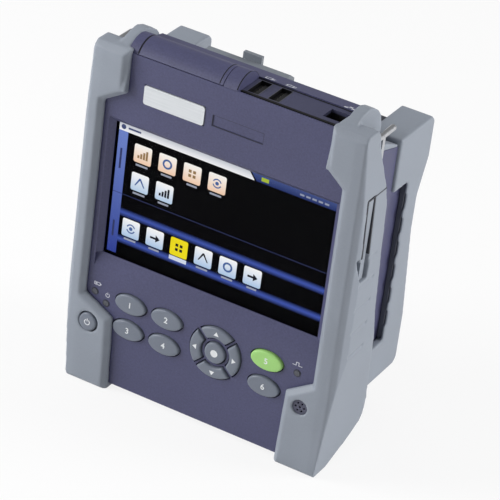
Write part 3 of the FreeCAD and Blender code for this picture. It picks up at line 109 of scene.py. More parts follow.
class Finish:
    """A surface finish: one material, its shader's fixed sockets, and the nodes that vary it."""

    def __init__(self, name, colour, **sockets):
        self.material = bpy.data.materials.new(name)
        self.material.use_nodes = True
        self.tree = self.material.node_tree
        self.shader = self.tree.nodes["Principled BSDF"]
        self.shader.inputs["Base Color"].default_value = (*colour, 1)
        for socket, value in sockets.items():
            self.shader.inputs[socket.replace("_", " ")].default_value = value
        self.place = self.node("ShaderNodeTexCoord", output="Object")

    def node(self, kind, settings=(), output=0, **inputs):
        """Adds any other node: its settings first, then the values or wires of its sockets."""
        node = self.tree.nodes.new(kind)
        for key, value in dict(settings).items():
            setattr(node, key, value)
        for key, value in inputs.items():
            socket = node.inputs[int(key[1:]) if key[1:].isdigit() else key.replace("_", " ")]
            if isinstance(value, Wire):
                self.tree.links.new(value.socket, socket)
            else:
                socket.default_value = value
        return Wire(self.tree, node.outputs[output])

    def noise(self, size, detail=2.0, roughness=0.5):
        """Soft clouds whose blobs are about that many metres across."""
        return self.node("ShaderNodeTexNoise", Vector=self.place, Scale=1 / size, Detail=detail,
                         Roughness=roughness)

    def mix(self, share, first, second):
        """A colour between two others."""
        return self.node("ShaderNodeMix", {"data_type": "RGBA"}, output=2, _0=share,
                         _6=first if isinstance(first, Wire) else (*first, 1),
                         _7=second if isinstance(second, Wire) else (*second, 1))

    def feed(self, socket, wire):
        """Leads a wire to one of the shader's sockets."""
        self.tree.links.new(wire.socket, self.shader.inputs[socket])

    def sheen(self, low, high, size):
        """Lets the roughness wander between two values, in soft clouds of that size."""
        self.feed("Roughness", low + self.noise(size) * (high - low))

    def grain(self, height, distance):
        """Raises a height pattern off the surface by a distance in metres."""
        self.feed("Normal", self.node("ShaderNodeBump", Strength=1.0, Distance=distance,
                                      Height=height))


table_mesh = bpy.data.meshes.new("table")
table_reach = 3.0
table_mesh.from_pydata([(-table_reach, -table_reach, 0), (table_reach, -table_reach, 0),
                        (table_reach, table_reach, 0), (-table_reach, table_reach, 0)],
                       [], [(0, 1, 2, 3)])
table = bpy.data.objects.new("table", table_mesh)
scene.collection.objects.link(table)

paper_white, paper_glow = (0.86, 0.86, 0.86), 0.85
paper = Finish("white_paper", paper_white, Roughness=0.9)
glow = paper.node("ShaderNodeEmission")
seen = paper.node("ShaderNodeLightPath").socket.node.outputs
direct = (Wire(paper.tree, seen["Is Camera Ray"]) + Wire(paper.tree, seen["Is Glossy Ray"])
          + Wire(paper.tree, seen["Is Transmission Ray"])) * paper_glow
lit = Wire(paper.tree, paper.shader.outputs[0])
blend = paper.node("ShaderNodeMixShader", _0=direct, _1=lit, _2=glow)
paper.tree.links.new(blend.socket, paper.tree.nodes["Material Output"].inputs["Surface"])
table.data.materials.append(paper.material)

sky_strength = 0.34
sky = bpy.data.worlds.new("studio")
sky.use_nodes = True
scene.world = sky
sky_light = sky.node_tree.nodes["Background"]
sky_light.inputs["Color"].default_value = (1, 1, 1, 1)
sky_light.inputs["Strength"].default_value = sky_strength
sky_white = sky.node_tree.nodes.new("ShaderNodeBackground")
sky_path = sky.node_tree.nodes.new("ShaderNodeLightPath")
sky_mix = sky.node_tree.nodes.new("ShaderNodeMixShader")
sky.node_tree.links.new(sky_path.outputs["Is Camera Ray"], sky_mix.inputs[0])
sky.node_tree.links.new(sky_light.outputs[0], sky_mix.inputs[1])
sky.node_tree.links.new(sky_white.outputs[0], sky_mix.inputs[2])
sky.node_tree.links.new(sky_mix.outputs[0], sky.node_tree.nodes["World Output"].inputs[0])

middle = Vector((0, 0, 0.09))
LAMPS = [
    # name, place, width of its square, and watts
    ("left_lamp", (-0.70, -0.42, 0.46), 0.45, 7.0),
    ("right_lamp", (1.25, 0.60, 0.62), 0.7, 15.0),
    ("top_lamp", (0.0, 0.1, 1.4), 0.8, 1.5),
]
for name, place, size, power in LAMPS:
    lamp = bpy.data.lights.new(name, "AREA")
    lamp.size = size
    lamp.energy = power
    lamp_object = bpy.data.objects.new(name, lamp)
    lamp_object.location = place
    lamp_object.rotation_euler = (middle - Vector(place)).to_track_quat("-Z", "Y").to_euler()
    scene.collection.objects.link(lamp_object)

# The camera looks down on the right-hand corner from over a metre away through a long lens.
eye = Vector((0.49855, -1.00961, 0.72673))
aim = Vector((0.00393, -0.00381, 0.07809))
tilt = math.radians(-7.586)
look = (aim - eye).normalized()
level_up = (Vector((0, 0, 1)) - look * look.z).normalized()
level_right = look.cross(level_up)
up = level_up * math.cos(tilt) + level_right * math.sin(tilt)
right = look.cross(up)
lens = bpy.data.cameras.new("portrait")
lens.sensor_width = 36.0
lens.lens = 211.964
lens.clip_end = 20
camera = bpy.data.objects.new("portrait", lens)
camera.matrix_world = Matrix((
    (right.x, up.x, -look.x, eye.x), (right.y, up.y, -look.y, eye.y),
    (right.z, up.z, -look.z, eye.z), (0, 0, 0, 1)))
scene.collection.objects.link(camera)
scene.camera = camera

# ---- The case ----------------------------------------------------------------------------------
# Two violet halves moulded in a hard plastic with a fine spark-eroded grain, screwed together from
# behind. The door in the crown and the module's box come from the same grade.


def moulded(name, colour, grain=0.0009, rough=0.5, speckle=0.6, **sockets):
    """Hard plastic with an even speckled grain and a faint change of shade over its length."""
    cloud_size, contrast, darkest, lightest = 0.05, 2.2, 0.66, 1.34
    rough_range, grain_height = 0.16, 0.00002
    finish = Finish(name, colour, Roughness=rough, **sockets)
    clouds = finish.noise(cloud_size, detail=3)
    fine = (finish.noise(grain, detail=3, roughness=0.7) - 0.5) * contrast + 0.5
    share = clouds * (1 - speckle) + fine * speckle
    finish.feed("Base Color", finish.mix(share, shaded(colour, darkest), shaded(colour, lightest)))
    finish.feed("Roughness", rough - rough_range / 2 + fine * rough_range)
    finish.grain(fine, grain_height)
    return finish


def dressed(finish, *nodes, width=0.0002, segments=2):
    """Gives CAD nodes a finish, and rounds their sharp edges off a little, as a mould does."""
    touching, sharp_angle, flat_first = 1e-6, 35, 100
    for node in nodes:
        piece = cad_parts[node]
        if width:
            joined = piece.modifiers.new("joined", "WELD")
            joined.merge_threshold = touching
            edge = piece.modifiers.new("edge", "BEVEL")
            edge.width = width
            edge.segments = segments
            edge.limit_method = "ANGLE"
            edge.angle_limit = math.radians(sharp_angle)
            flats = piece.modifiers.new("flats", "WEIGHTED_NORMAL")
            flats.weight = flat_first
        piece.data.materials.clear()
        piece.data.materials.append(finish.material)


violet = linear(71, 72, 105)
case_plastic = moulded("violet_case_plastic", violet)
dressed(case_plastic, "front_housing", "rear_housing", width=0.0004)

# ---- The display -------------------------------------------------------------------------------
# A 5 inch colour panel behind a bonded pane. It shows a menu: tiles with plain signs on black, a
# light title bar, a blue strip down the left side and two blue bands along the bottom.
dark_glass = Finish("display_glass", (0.004, 0.004, 0.005), Roughness=0.12, Alpha=0.10,
                    Specular_IOR_Level=0.12)
dark_glass.sheen(0.10, 0.16, size=0.03)
dressed(dark_glass, "screen_glass", width=0)
black_panel = Finish("display_black", (0.002, 0.002, 0.003), Roughness=0.6,
                     Specular_IOR_Level=0.05)
black_panel.sheen(0.55, 0.65, size=0.01)
dressed(black_panel, "lcd_panel", width=0)

FRONT = (Vector((1, 0, 0)), Vector((0, 0, 1)))


def bar(left, low, right, high):
    """An upright rectangle."""
    return [(left, low), (right, low), (right, high), (left, high)]


def bow(x, y, radius, start, end, steps=8):
    """Points along an arc, with its angles in degrees."""
    turns = [math.radians(start + (end - start) * i / steps) for i in range(steps + 1)]
    return [(x + radius * math.cos(turn), y + radius * math.sin(turn)) for turn in turns]


def dot(x, y, radius, corners=20):
    """A round shape, or a regular one where it has few corners."""
    return bow(x, y, radius, 90, 450 - 360 / corners, corners - 1)


def band(x, y, inner, outer, start=0, end=360, steps=24):
    """A curved strip between two arcs."""
    return bow(x, y, outer, start, end, steps) + bow(x, y, inner, end, start, steps)


def tile_shape(x, y, half, round_off, steps=4):
    """A square with rounded corners, from its middle and half its width."""
    inner = half - round_off
    return (bow(x + inner, y - inner, round_off, -90, 0, steps)
            + bow(x + inner, y + inner, round_off, 0, 90, steps)
            + bow(x - inner, y + inner, round_off, 90, 180, steps)
            + bow(x - inner, y - inner, round_off, 180, 270, steps))


def cut_shapes(name, outlines, corner, facing, thick):
    """Flat shapes of one thickness, each cut to its outline, on a plane through a corner."""
    across, rising = facing
    out = across.cross(rising) * thick
    shapes = bmesh.new()
    for outline in outlines:
        back = [shapes.verts.new(corner + across * u + rising * v) for u, v in outline]
        front = [shapes.verts.new(vertex.co + out) for vertex in back]
        shapes.faces.new(front)
        shapes.faces.new(back[::-1])
        for i, vertex in enumerate(back):
            following = (i + 1) % len(back)
            shapes.faces.new((vertex, back[following], front[following], front[i]))
    mesh = bpy.data.meshes.new(name)
    shapes.to_mesh(mesh)
    shapes.free()
    made = bpy.data.objects.new(name, mesh)
    scene.collection.objects.link(made)
    return made


def fitted(made, finish, body):
    """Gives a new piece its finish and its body."""
    made.data.materials.append(finish.material)
    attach(made, body)
    return made


def lit_colour(name, low, high=None):
    """A lit part of the picture, whose colour may change from its low edge to its high edge."""
    finish = Finish(name, (0, 0, 0), Roughness=0.6, Specular_IOR_Level=0.05,
                    Emission_Strength=1.0)
    finish.shader.inputs["Emission Color"].default_value = (*low, 1)
    if high:
        place = finish.node("ShaderNodeTexCoord", output="Generated")
        rise = finish.node("ShaderNodeSeparateXYZ", output="Z", Vector=place)
        finish.feed("Emission Color", finish.mix(rise, low, high))
    return finish


pane_low, pane_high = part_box("screen_glass")
pane_edge, pane_gap = 0.00313, 0.00001
picture_wide = pane_high.x - pane_low.x - 2 * pane_edge
picture_tall = pane_high.z - pane_low.z - 2 * pane_edge
picture_corner = Vector((pane_low.x + pane_edge, pane_high.y - pane_gap, pane_low.z + pane_edge))
step, film = 0.00004, 0.000024
ground_layer, rule_layer, tile_layer, sign_layer = range(4)


def shown(name, finish, outlines, layer):
    """One lit part of the picture, in a layer that lies nearer to the pane the higher it is."""
    corner = picture_corner - Vector((0, step * layer, 0))
    made = cut_shapes(name, outlines, corner, FRONT, film)
    return fitted(made, finish, "main")


strip_wide, title_tall, title_long, title_slant = 0.0047, 0.0039, 0.0680, 0.003
picture_top = picture_tall - title_tall
night_blue, glow_blue = linear(6, 8, 26), linear(66, 88, 176)
shown("picture_side_strip", lit_colour("side_strip_blue", linear(50, 66, 150),
                                       linear(112, 134, 204)),
      [bar(0, 0, strip_wide, picture_top)], ground_layer)
shown("picture_title", lit_colour("title_grey", linear(250, 250, 252), linear(196, 200, 210)),
      [[(0, picture_top), (title_long, picture_top), (title_long - title_slant, picture_tall),
        (0, picture_tall)]], ground_layer)
status_x = title_long + 0.001
shown("picture_status", lit_colour("status_blue", linear(36, 50, 104), linear(70, 86, 140)),
      [[(status_x, picture_top), (picture_wide, picture_top), (picture_wide, picture_tall),
        (status_x - title_slant, picture_tall)]], ground_layer)
band_tall, band_lifts = 0.0042, (0.0058, 0.0192)
for number, lift in enumerate(band_lifts):
    for part, low, high in (("low", night_blue, glow_blue), ("high", glow_blue, night_blue)):
        start = lift + (band_tall / 2 if part == "high" else 0)
        shown(f"picture_band_{number}_{part}", lit_colour(f"band_{part}_blue", low, high),
              [bar(strip_wide, start, picture_wide, start + band_tall / 2)], ground_layer)
rule_z, rule_tall = 0.0300, 0.0003
side_marks = [bar(0.0016, 0.0080, 0.0026, 0.0160), bar(0.0016, 0.0420, 0.0026, 0.0520)]
shown("picture_rules", lit_colour("rule_blue", linear(52, 60, 104)),
      [bar(0, rule_z, picture_wide, rule_z + rule_tall), *side_marks], rule_layer)
title_signs = [dot(0.0022, picture_top + title_tall / 2, 0.0012),
               bar(0.0046, picture_top + 0.0015, 0.0110, picture_top + 0.0024)]
shown("picture_title_signs", lit_colour("title_ink", linear(70, 80, 120)), title_signs, rule_layer)
sign_x, sign_pitch, sign_wide, sign_count = 0.0900, 0.0030, 0.0021, 5
shown("picture_status_signs", lit_colour("status_grey", linear(150, 156, 176)),
      [bar(sign_x + sign_pitch * i, picture_top + 0.0012, sign_x + sign_wide + sign_pitch * i,
           picture_top + 0.0021) for i in range(sign_count)], rule_layer)
shown("picture_status_cell", lit_colour("status_green", linear(170, 190, 60)),
      [bar(0.0712, picture_top + 0.0010, 0.0748, picture_top + 0.0028)], rule_layer)

tile, tile_round = 0.0088, 0.0009
ROWS = [
    # middle of the first tile, pitch, how many, and the tiles' low and high colours
    (0.0130, 0.0525, 0.0125, 4, linear(246, 208, 178), linear(255, 252, 246)),
    (0.0130, 0.0385, 0.0125, 2, linear(186, 210, 236), linear(255, 255, 255)),
    (0.0110, 0.0146, 0.0124, 6, linear(176, 204, 236), linear(255, 255, 255)),
]
chosen_row, chosen_tile = 2, 2
caption_half, caption_low, caption_high = 0.0030, 0.0017, 0.0008
left_short, right_short = 0.0004, 0.0003
chosen_half, chosen_under, chosen_over = 0.0044, 0.0024, 0.0004
captions = []
for row, (first_x, row_z, pitch, count, low, high) in enumerate(ROWS):
    tile_colour = lit_colour(f"tile_colour_{row}", low, high)
    outlines = []
    for i in range(count):
        x = first_x + pitch * i
        if (row, i) == (chosen_row, chosen_tile):
            shown("picture_chosen_tile", lit_colour("chosen_yellow", linear(244, 226, 30)),
                  [tile_shape(x, row_z, tile / 2, tile_round)], tile_layer)
            continue
        outlines.append(tile_shape(x, row_z, tile / 2, tile_round))
        captions.append(bar(x - caption_half + left_short * (i % 3), row_z - tile / 2 - caption_low,
                            x + caption_half - right_short * (i % 2),
                            row_z - tile / 2 - caption_high))
    shown(f"picture_tiles_{row}", tile_colour, outlines, tile_layer)
chosen_x = ROWS[chosen_row][0] + ROWS[chosen_row][2] * chosen_tile
chosen_low = ROWS[chosen_row][1] - tile / 2
shown("picture_chosen_caption", lit_colour("caption_white", linear(214, 222, 240)),
      [bar(chosen_x - chosen_half, chosen_low - chosen_under, chosen_x + chosen_half,
           chosen_low - chosen_over)], sign_layer)
shown("picture_captions", lit_colour("caption_grey", linear(158, 164, 180)), captions, sign_layer)


# Each sign on a tile is a few shapes around the tile's middle.
def ring_sign(x, y):
    return [band(x, y, 0.0015, 0.0024)]


def steps_sign(x, y):
    return [bar(x - 0.0026 + 0.0014 * i, y - 0.0022, x - 0.0016 + 0.0014 * i,
                y - 0.0008 + 0.0010 * i) for i in range(4)]


def peak_sign(x, y):
    return [[(x - 0.0026, y - 0.0018), (x - 0.0020, y - 0.0018), (x, y + 0.0012),
             (x + 0.0020, y - 0.0018), (x + 0.0026, y - 0.0018), (x + 0.0004, y + 0.0022),
             (x - 0.0004, y + 0.0022)]]


def grid_sign(x, y):
    return [bar(x + dx, y + dy, x + dx + 0.0014, y + dy + 0.0014)
            for dx in (-0.0018, 0.0004) for dy in (-0.0018, 0.0004)]


def arrow_sign(x, y):
    return [[(x - 0.0024, y - 0.0005), (x + 0.0004, y - 0.0005), (x + 0.0004, y - 0.0018),
             (x + 0.0026, y), (x + 0.0004, y + 0.0018), (x + 0.0004, y + 0.0005),
             (x - 0.0024, y + 0.0005)]]


def target_sign(x, y):
    return [dot(x, y, 0.0009), band(x, y, 0.0017, 0.0023, 20, 160, 10),
            band(x, y, 0.0017, 0.0023, 200, 340, 10)]


SIGNS = [
    ("brown", linear(150, 120, 80), [(0, 0, steps_sign), (0, 2, grid_sign)]),
    ("blue", linear(70, 100, 160), [(0, 1, ring_sign), (0, 3, target_sign), (1, 0, peak_sign),
                                    (2, 0, target_sign), (2, 4, ring_sign)]),
    ("black", linear(24, 26, 36), [(1, 1, steps_sign), (2, 1, arrow_sign), (2, 2, grid_sign),
                                   (2, 3, peak_sign), (2, 5, arrow_sign)]),
]
for colour_name, colour, places in SIGNS:
    outlines = []
    for row, i, sign in places:
        outlines += sign(ROWS[row][0] + ROWS[row][2] * i, ROWS[row][1])
    shown(f"picture_signs_{colour_name}", lit_colour(f"sign_{colour_name}", colour), outlines,
          sign_layer)

# ---- The keys ----------------------------------------------------------------------------------
# Silicone rubber keys stand through the front on a shared mat of domes. Each has a pillowed top
# with a white print, and the one that starts a test is green.


def rubber(name, colour, rough=0.55, depth=0.000015):
    """Satin moulded rubber: an even shade with a soft bloom and a very fine grain."""
    bloom_size, grain_size, bloom_share, darkest, lightest = 0.03, 0.0006, 0.65, 0.86, 1.14
    rough_range = 0.16
    finish = Finish(name, colour, Roughness=rough)
    bloom = finish.noise(bloom_size, detail=4)
    fine = finish.noise(grain_size, detail=2, roughness=0.6)
    share = bloom * bloom_share + fine * (1 - bloom_share)
    finish.feed("Base Color", finish.mix(share, shaded(colour, darkest), shaded(colour, lightest)))
    finish.feed("Roughness", rough - rough_range / 2 + bloom * rough_range)
    finish.grain(fine, depth)
    return finish


def pillowed(finish, node, cell, rounds):
    """Rounds a thick rubber node all over, as silicone leaves its mould."""
    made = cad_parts[node]
    cells = made.modifiers.new("cells", "REMESH")
    cells.mode = "VOXEL"
    cells.voxel_size = cell
    cells.use_smooth_shade = True
    rounding = made.modifiers.new("rounding", "SMOOTH")
    rounding.factor = 0.5
    rounding.iterations = rounds
    made.data.materials.clear()
    made.data.materials.append(finish.material)


key_rubber = rubber("key_rubber", linear(112, 119, 132), rough=0.42)
green_rubber = rubber("green_key_rubber", linear(160, 212, 122), rough=0.42)
key_print = Finish("key_print", linear(228, 230, 232), Roughness=0.5)
key_print.sheen(0.45, 0.55, size=0.0005)
OVAL_KEYS = ("key_left_high", "key_middle_high", "key_left_low", "key_middle_low",
             "key_right_high", "key_right_low")
ARROWS = {"arrow_up": 90, "arrow_left": 180, "arrow_down": 270, "arrow_right": 0}
key_cell, key_rounds, arrow_rounds = 0.00026, 34, 60
for node in (*OVAL_KEYS, *ARROWS, "centre_key", "power_key"):
    rounds = arrow_rounds if node in ARROWS else key_rounds
    pillowed(green_rubber if node == "key_right_high" else key_rubber, node, key_cell, rounds)
dressed(rubber("dome_mat", linear(90, 95, 105)), "keypad_mat", width=0)

print_sink, print_thick = 0.00030, 0.00031
numeral_tall, numeral_bold = 0.0040, 0.00006
for number, node in enumerate(OVAL_KEYS, start=1):
    low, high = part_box(node)
    numeral = bpy.data.curves.new(f"{node}_numeral", "FONT")
    numeral.body = str(number)
    numeral.size = numeral_tall
    numeral.extrude = print_thick / 2
    numeral.offset = numeral_bold
    numeral.align_x = "CENTER"
    numeral.align_y = "CENTER"
    made = bpy.data.objects.new(f"{node}_numeral", numeral)
    made.location = ((low.x + high.x) / 2, low.y + print_sink - print_thick / 2,
                     (low.z + high.z) / 2)
    made.rotation_euler = (math.radians(90), 0, 0)
    scene.collection.objects.link(made)
    fitted(made, key_print, f"{node}_body")


def key_mark(node, outlines, x, z):
    """A white print on the middle of a key, or at another place on it."""
    low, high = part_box(node)
    made = cut_shapes(f"{node}_mark", outlines, Vector((x, low.y + print_sink, z)), FRONT,
                      print_thick)
    fitted(made, key_print, f"{node}_body")


centre_low, centre_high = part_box("centre_key")
pad_x, pad_z = (centre_low.x + centre_high.x) / 2, (centre_low.z + centre_high.z) / 2
centre_dot, arrow_out, arrow_tip, arrow_base, arrow_half = 0.0018, 0.0100, 0.0011, 0.0009, 0.0013
key_mark("centre_key", [dot(0, 0, centre_dot)], pad_x, pad_z)
for node, turn in ARROWS.items():
    sense = math.radians(turn)
    along = Vector((math.cos(sense), math.sin(sense)))
    aside = Vector((-math.sin(sense), math.cos(sense)))
    tip, base = along * arrow_tip, along * -arrow_base
    points = [tuple(tip), tuple(base + aside * arrow_half), tuple(base - aside * arrow_half)]
    key_mark(node, [points], pad_x + along.x * arrow_out, pad_z + along.y * arrow_out)
power_low, power_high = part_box("power_key")
power_sign = [band(0, 0, 0.0011, 0.0015, 120, 420, 20), bar(-0.0002, 0.0004, 0.0002, 0.0019)]
key_mark("power_key", power_sign, (power_low.x + power_high.x) / 2,
         (power_low.z + power_high.z) / 2)

# ---- The lights, the plate and the grille ------------------------------------------------------
# Three clear pipes carry the lights of the board to the front, in dark sleeves. A bare satin
# plate is bonded into its recess, and a perforated disc covers the loudspeaker.
lens_plastic = Finish("light_lens", linear(74, 76, 84), Roughness=0.2)
lens_plastic.sheen(0.15, 0.25, size=0.001)
dressed(lens_plastic, "status_lights", width=0.0002)
sleeve_plastic = moulded("light_sleeves", linear(44, 45, 62))
panel_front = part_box("front_housing")[0].y
lights_low, lights_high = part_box("status_lights")
flange, second_in = 0.0020, 0.0062
sleeve_inner, sleeve_outer, sleeve_proud = 0.00130, 0.00185, 0.00012
LIGHTS = [(lights_low.x + flange, lights_high.z - flange),
          (lights_low.x + flange + second_in, lights_low.z + flange),
          (lights_high.x - flange, lights_high.z - flange)]
sleeves = cut_shapes("light_sleeves", [band(x, z, sleeve_inner, sleeve_outer) for x, z in LIGHTS],
                     Vector((0, panel_front, 0)), FRONT, sleeve_proud)
fitted(sleeves, sleeve_plastic, "main")
print_white = Finish("panel_print", linear(206, 208, 216), Roughness=0.6)
print_white.sheen(0.55, 0.65, size=0.0005)
ink_thick = 0.00004


def panel_print(name, outlines, x, z):
    """A small white print on the flat front."""
    made = cut_shapes(name, outlines, Vector((x, panel_front, z)), FRONT, ink_thick)
    fitted(made, print_white, "main")


sign_lift = 0.0042
cell_sign = [bar(-0.0018, -0.0008, 0.0014, -0.0005), bar(-0.0018, 0.0005, 0.0014, 0.0008),
             bar(-0.0018, -0.0005, -0.0015, 0.0005), bar(0.0011, -0.0005, 0.0014, 0.0005),
             bar(0.0014, -0.0003, 0.0019, 0.0003), bar(-0.0012, -0.0003, -0.0002, 0.0003)]
switch_sign = [band(0, 0, 0.0008, 0.0011, 120, 420, 16), bar(-0.00015, 0.0002, 0.00015, 0.0014)]
pulse_sign = [bar(-0.0024, -0.0006, -0.0008, -0.0003), bar(-0.0008, -0.0006, -0.0005, 0.0009),
              bar(-0.0008, 0.0009, 0.0008, 0.0012), bar(0.0005, -0.0006, 0.0008, 0.0009),
              bar(0.0008, -0.0006, 0.0024, -0.0003)]
for name, outlines, (x, z), aside in (("cell_print", cell_sign, LIGHTS[0], 0.0010),
                                      ("switch_print", switch_sign, LIGHTS[1], 0.0004),
                                      ("pulse_print", pulse_sign, LIGHTS[2], -0.0004)):
    panel_print(name, outlines, x + aside, z + sign_lift)

satin = Finish("satin_plate", linear(216, 220, 224), Roughness=0.4, Metallic=0.55)
along_and_across = (40.0, 1.0, 2200.0)
stretched = satin.node("ShaderNodeMapping", Vector=satin.place, Scale=along_and_across)
brushed = satin.node("ShaderNodeTexNoise", Vector=stretched, Scale=1.0, Detail=2.0)
smoothest, roughest = 0.34, 0.48
satin.feed("Roughness", smoothest + brushed * (roughest - smoothest))
satin.feed("Base Color", satin.mix(brushed, linear(204, 208, 212), linear(228, 231, 234)))
dressed(satin, "name_plate", width=0.0002)

# Beside the plate lies a bare shallow recess; the shade on its walls is painted as thin dark
# strips, wider along the bottom and the left.
left, low, right, high = -0.0078, 0.1474, 0.0175, 0.1529
wide_shade_edge, narrow_shade_edge, recess_sink, shade_thick = 0.0004, 0.00025, 0.0004, 0.0003
recess_shade = moulded("recess_shade", linear(44, 45, 64))
walls = [bar(left, low, right, low + wide_shade_edge),
         bar(left, low + wide_shade_edge, left + wide_shade_edge, high - narrow_shade_edge),
         bar(left, high - narrow_shade_edge, right, high),
         bar(right - narrow_shade_edge, low + wide_shade_edge, right, high - narrow_shade_edge)]
made = cut_shapes("recess_shade", walls, Vector((0, panel_front + recess_sink, 0)), FRONT,
                  shade_thick)
fitted(made, recess_shade, "main")

black_plastic = moulded("black_plastic", linear(26, 26, 30), rough=0.45)
grille_plastic = moulded("grille_plastic", linear(70, 71, 90))
dressed(grille_plastic, "speaker_grille", width=0.00012)
dressed(black_plastic, "speaker", width=0)

# ---- The connectors in the top -----------------------------------------------------------------
# A panel in the crown's bay holds two sockets for memory sticks and a network socket. Black strips
# along its front and back edges are painted shade in the gaps there, and plain signs are printed
# behind the sockets.
panel_plastic = moulded("panel_plastic", linear(70, 71, 95), Specular_IOR_Level=0.25)
dressed(panel_plastic, "port_panel", width=0.0001)


def metal(name, colour, rough, darkest=0.8):
    """Bare or plated metal with the fine streaks of its rolling."""
    streak_size, smoothest, rough_range, streak_deep = 0.0009, 0.8, 0.5, 0.000002
    finish = Finish(name, colour, Roughness=rough, Metallic=1.0)
    streaks = finish.noise(streak_size, detail=3)
    finish.feed("Roughness", rough * smoothest + streaks * (rough * rough_range))
    finish.feed("Base Color", finish.mix(streaks, shaded(colour, darkest), colour))
    finish.grain(streaks, streak_deep)
    return finish


dressed(black_plastic, "network_port", width=0)
contact_gold = metal("contact_gold", linear(206, 190, 150), 0.3)
# Black sheets painted as the shade in the gaps around the bay's panel and at the door's ends.
gap_shade = moulded("painted_gap_shade", linear(10, 10, 13), rough=0.9)
FACING_UP = (Vector((1, 0, 0)), Vector((0, 1, 0)))
bay_low, bay_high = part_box("port_panel")
bay_shade_over, bay_shade_front, bay_shade_back, bay_shade_deep, bay_shade_tall = 0.0004, 0.0008, 0.0006, 0.0012, 0.00135
bay_shade_strips = [bar(bay_low.x, bay_low.y - bay_shade_over, bay_high.x, bay_low.y + bay_shade_front),
         bar(bay_low.x, bay_high.y - bay_shade_back, bay_high.x, bay_high.y)]
made = cut_shapes("bay_gap_shades", bay_shade_strips, Vector((0, 0, bay_high.z - bay_shade_deep)), FACING_UP, bay_shade_tall)
fitted(made, gap_shade, "main")

# Inside its rim, each memory stick socket's steel shell is painted black and not metallic, as the
# shade inside the socket, and dark sheets beside the tongue are painted shade in its cavity.
shell_steel, socket_shade_black, rim = linear(120, 121, 132), linear(9, 9, 12), 0.0003
tongue_aside, tongue_left, tongue_right = 0.0006, 0.0013, 0.00097
pad_out, pad_in, pad_deep, pad_tall = 0.00125, 0.00097, 0.0090, 0.0075
first_pad, pad_pitch, pad_long, pad_count = 0.0024, 0.0024, 0.0010, 4
cavity_shade_in, cavity_shade_deep, cavity_shade_tall = 0.0005, 0.0100, 0.0080
for node in ("usb_port_left", "usb_port_right"):
    low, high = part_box(node)
    shell_and_shade = metal(f"{node}_steel", shell_steel, 0.4)
    parts = shell_and_shade.node("ShaderNodeSeparateXYZ", Vector=shell_and_shade.place).socket.node.outputs
    off_x = abs(Wire(shell_and_shade.tree, parts["X"]) - (low.x + high.x) / 2)
    off_y = abs(Wire(shell_and_shade.tree, parts["Y"]) - (low.y + high.y) / 2)
    socket_shade = ((high.x - low.x) / 2 - rim > off_x) * ((high.y - low.y) / 2 - rim > off_y)
    shell_and_shade.feed("Base Color", shell_and_shade.mix(socket_shade, shell_steel, socket_shade_black))
    shell_and_shade.feed("Metallic", 1 - socket_shade)
    dressed(shell_and_shade, node, width=0)
    tongue_x = (low.x + high.x) / 2 + tongue_aside
    pad_y = low.y + first_pad
    pads = [bar(tongue_x - pad_out, pad_y + pad_pitch * i, tongue_x - pad_in,
                pad_y + pad_pitch * i + pad_long) for i in range(pad_count)]
    made = cut_shapes(f"{node}_contacts", pads, Vector((0, 0, high.z - pad_deep)), FACING_UP,
                      pad_tall)
    fitted(made, contact_gold, "main")
    cavity_shade = moulded(f"{node}_liner", linear(8, 8, 10), rough=0.8)
    inner = [bar(low.x + cavity_shade_in, low.y + cavity_shade_in, tongue_x - tongue_left, high.y - cavity_shade_in),
             bar(tongue_x + tongue_right, low.y + cavity_shade_in, high.x - cavity_shade_in, high.y - cavity_shade_in)]
    made = cut_shapes(f"{node}_liner", inner, Vector((0, 0, high.z - cavity_shade_deep)), FACING_UP,
                      cavity_shade_tall)
    fitted(made, cavity_shade, "main")

low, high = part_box("network_port")
first_x = (low.x + high.x) / 2 - 0.0040
wire_pitch, wire_wide, wire_count = 0.00102, 0.0004, 8
wire_back, wire_front, wire_deep, wire_thick = 0.0026, 0.0052, 0.0032, 0.0004
wires = [bar(first_x + wire_pitch * i, high.y - wire_front, first_x + wire_pitch * i + wire_wide,
             high.y - wire_back) for i in range(wire_count)]
made = cut_shapes("network_contacts", wires, Vector((0, 0, high.z - wire_deep)), FACING_UP,
                  wire_thick)
fitted(made, contact_gold, "main")

slope_fall, slope_run, top_ink = 1.8, 9.5, 0.00005
slope = math.atan2(-slope_fall, slope_run)
ON_SLOPE = (Vector((1, 0, 0)), Vector((0, math.cos(slope), math.sin(slope))))
back_edge = Vector((0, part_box("rear_housing")[0].y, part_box("rear_housing")[1].z))


def top_print(name, outlines, x):
    """A small white print on the slope behind the bay."""
    made = cut_shapes(name, outlines, back_edge + Vector((x, 0, 0)), ON_SLOPE, top_ink)
    fitted(made, print_white, "main")


plug_sign = [bar(-0.0018, 0.0006, 0.0008, 0.0010), bar(-0.0018, 0.0026, 0.0008, 0.0030),
             bar(-0.0022, 0.0006, -0.0018, 0.0030), bar(0.0008, 0.0006, 0.0012, 0.0030),
             bar(0.0012, 0.0010, 0.0024, 0.0014), bar(0.0012, 0.0022, 0.0024, 0.0026)]
branch_sign = [bar(-0.0008, 0.0022, 0.0008, 0.0032), bar(-0.0026, 0.0004, -0.0010, 0.0014),
               bar(0.0010, 0.0004, 0.0026, 0.0014), bar(-0.0019, 0.0017, 0.0019, 0.0020)]
for name, outlines, x in (("left_socket_print", plug_sign, 0.0066),
                          ("right_socket_print", plug_sign, 0.0168),
                          ("network_print", branch_sign, 0.0454)):
    top_print(name, outlines, x)

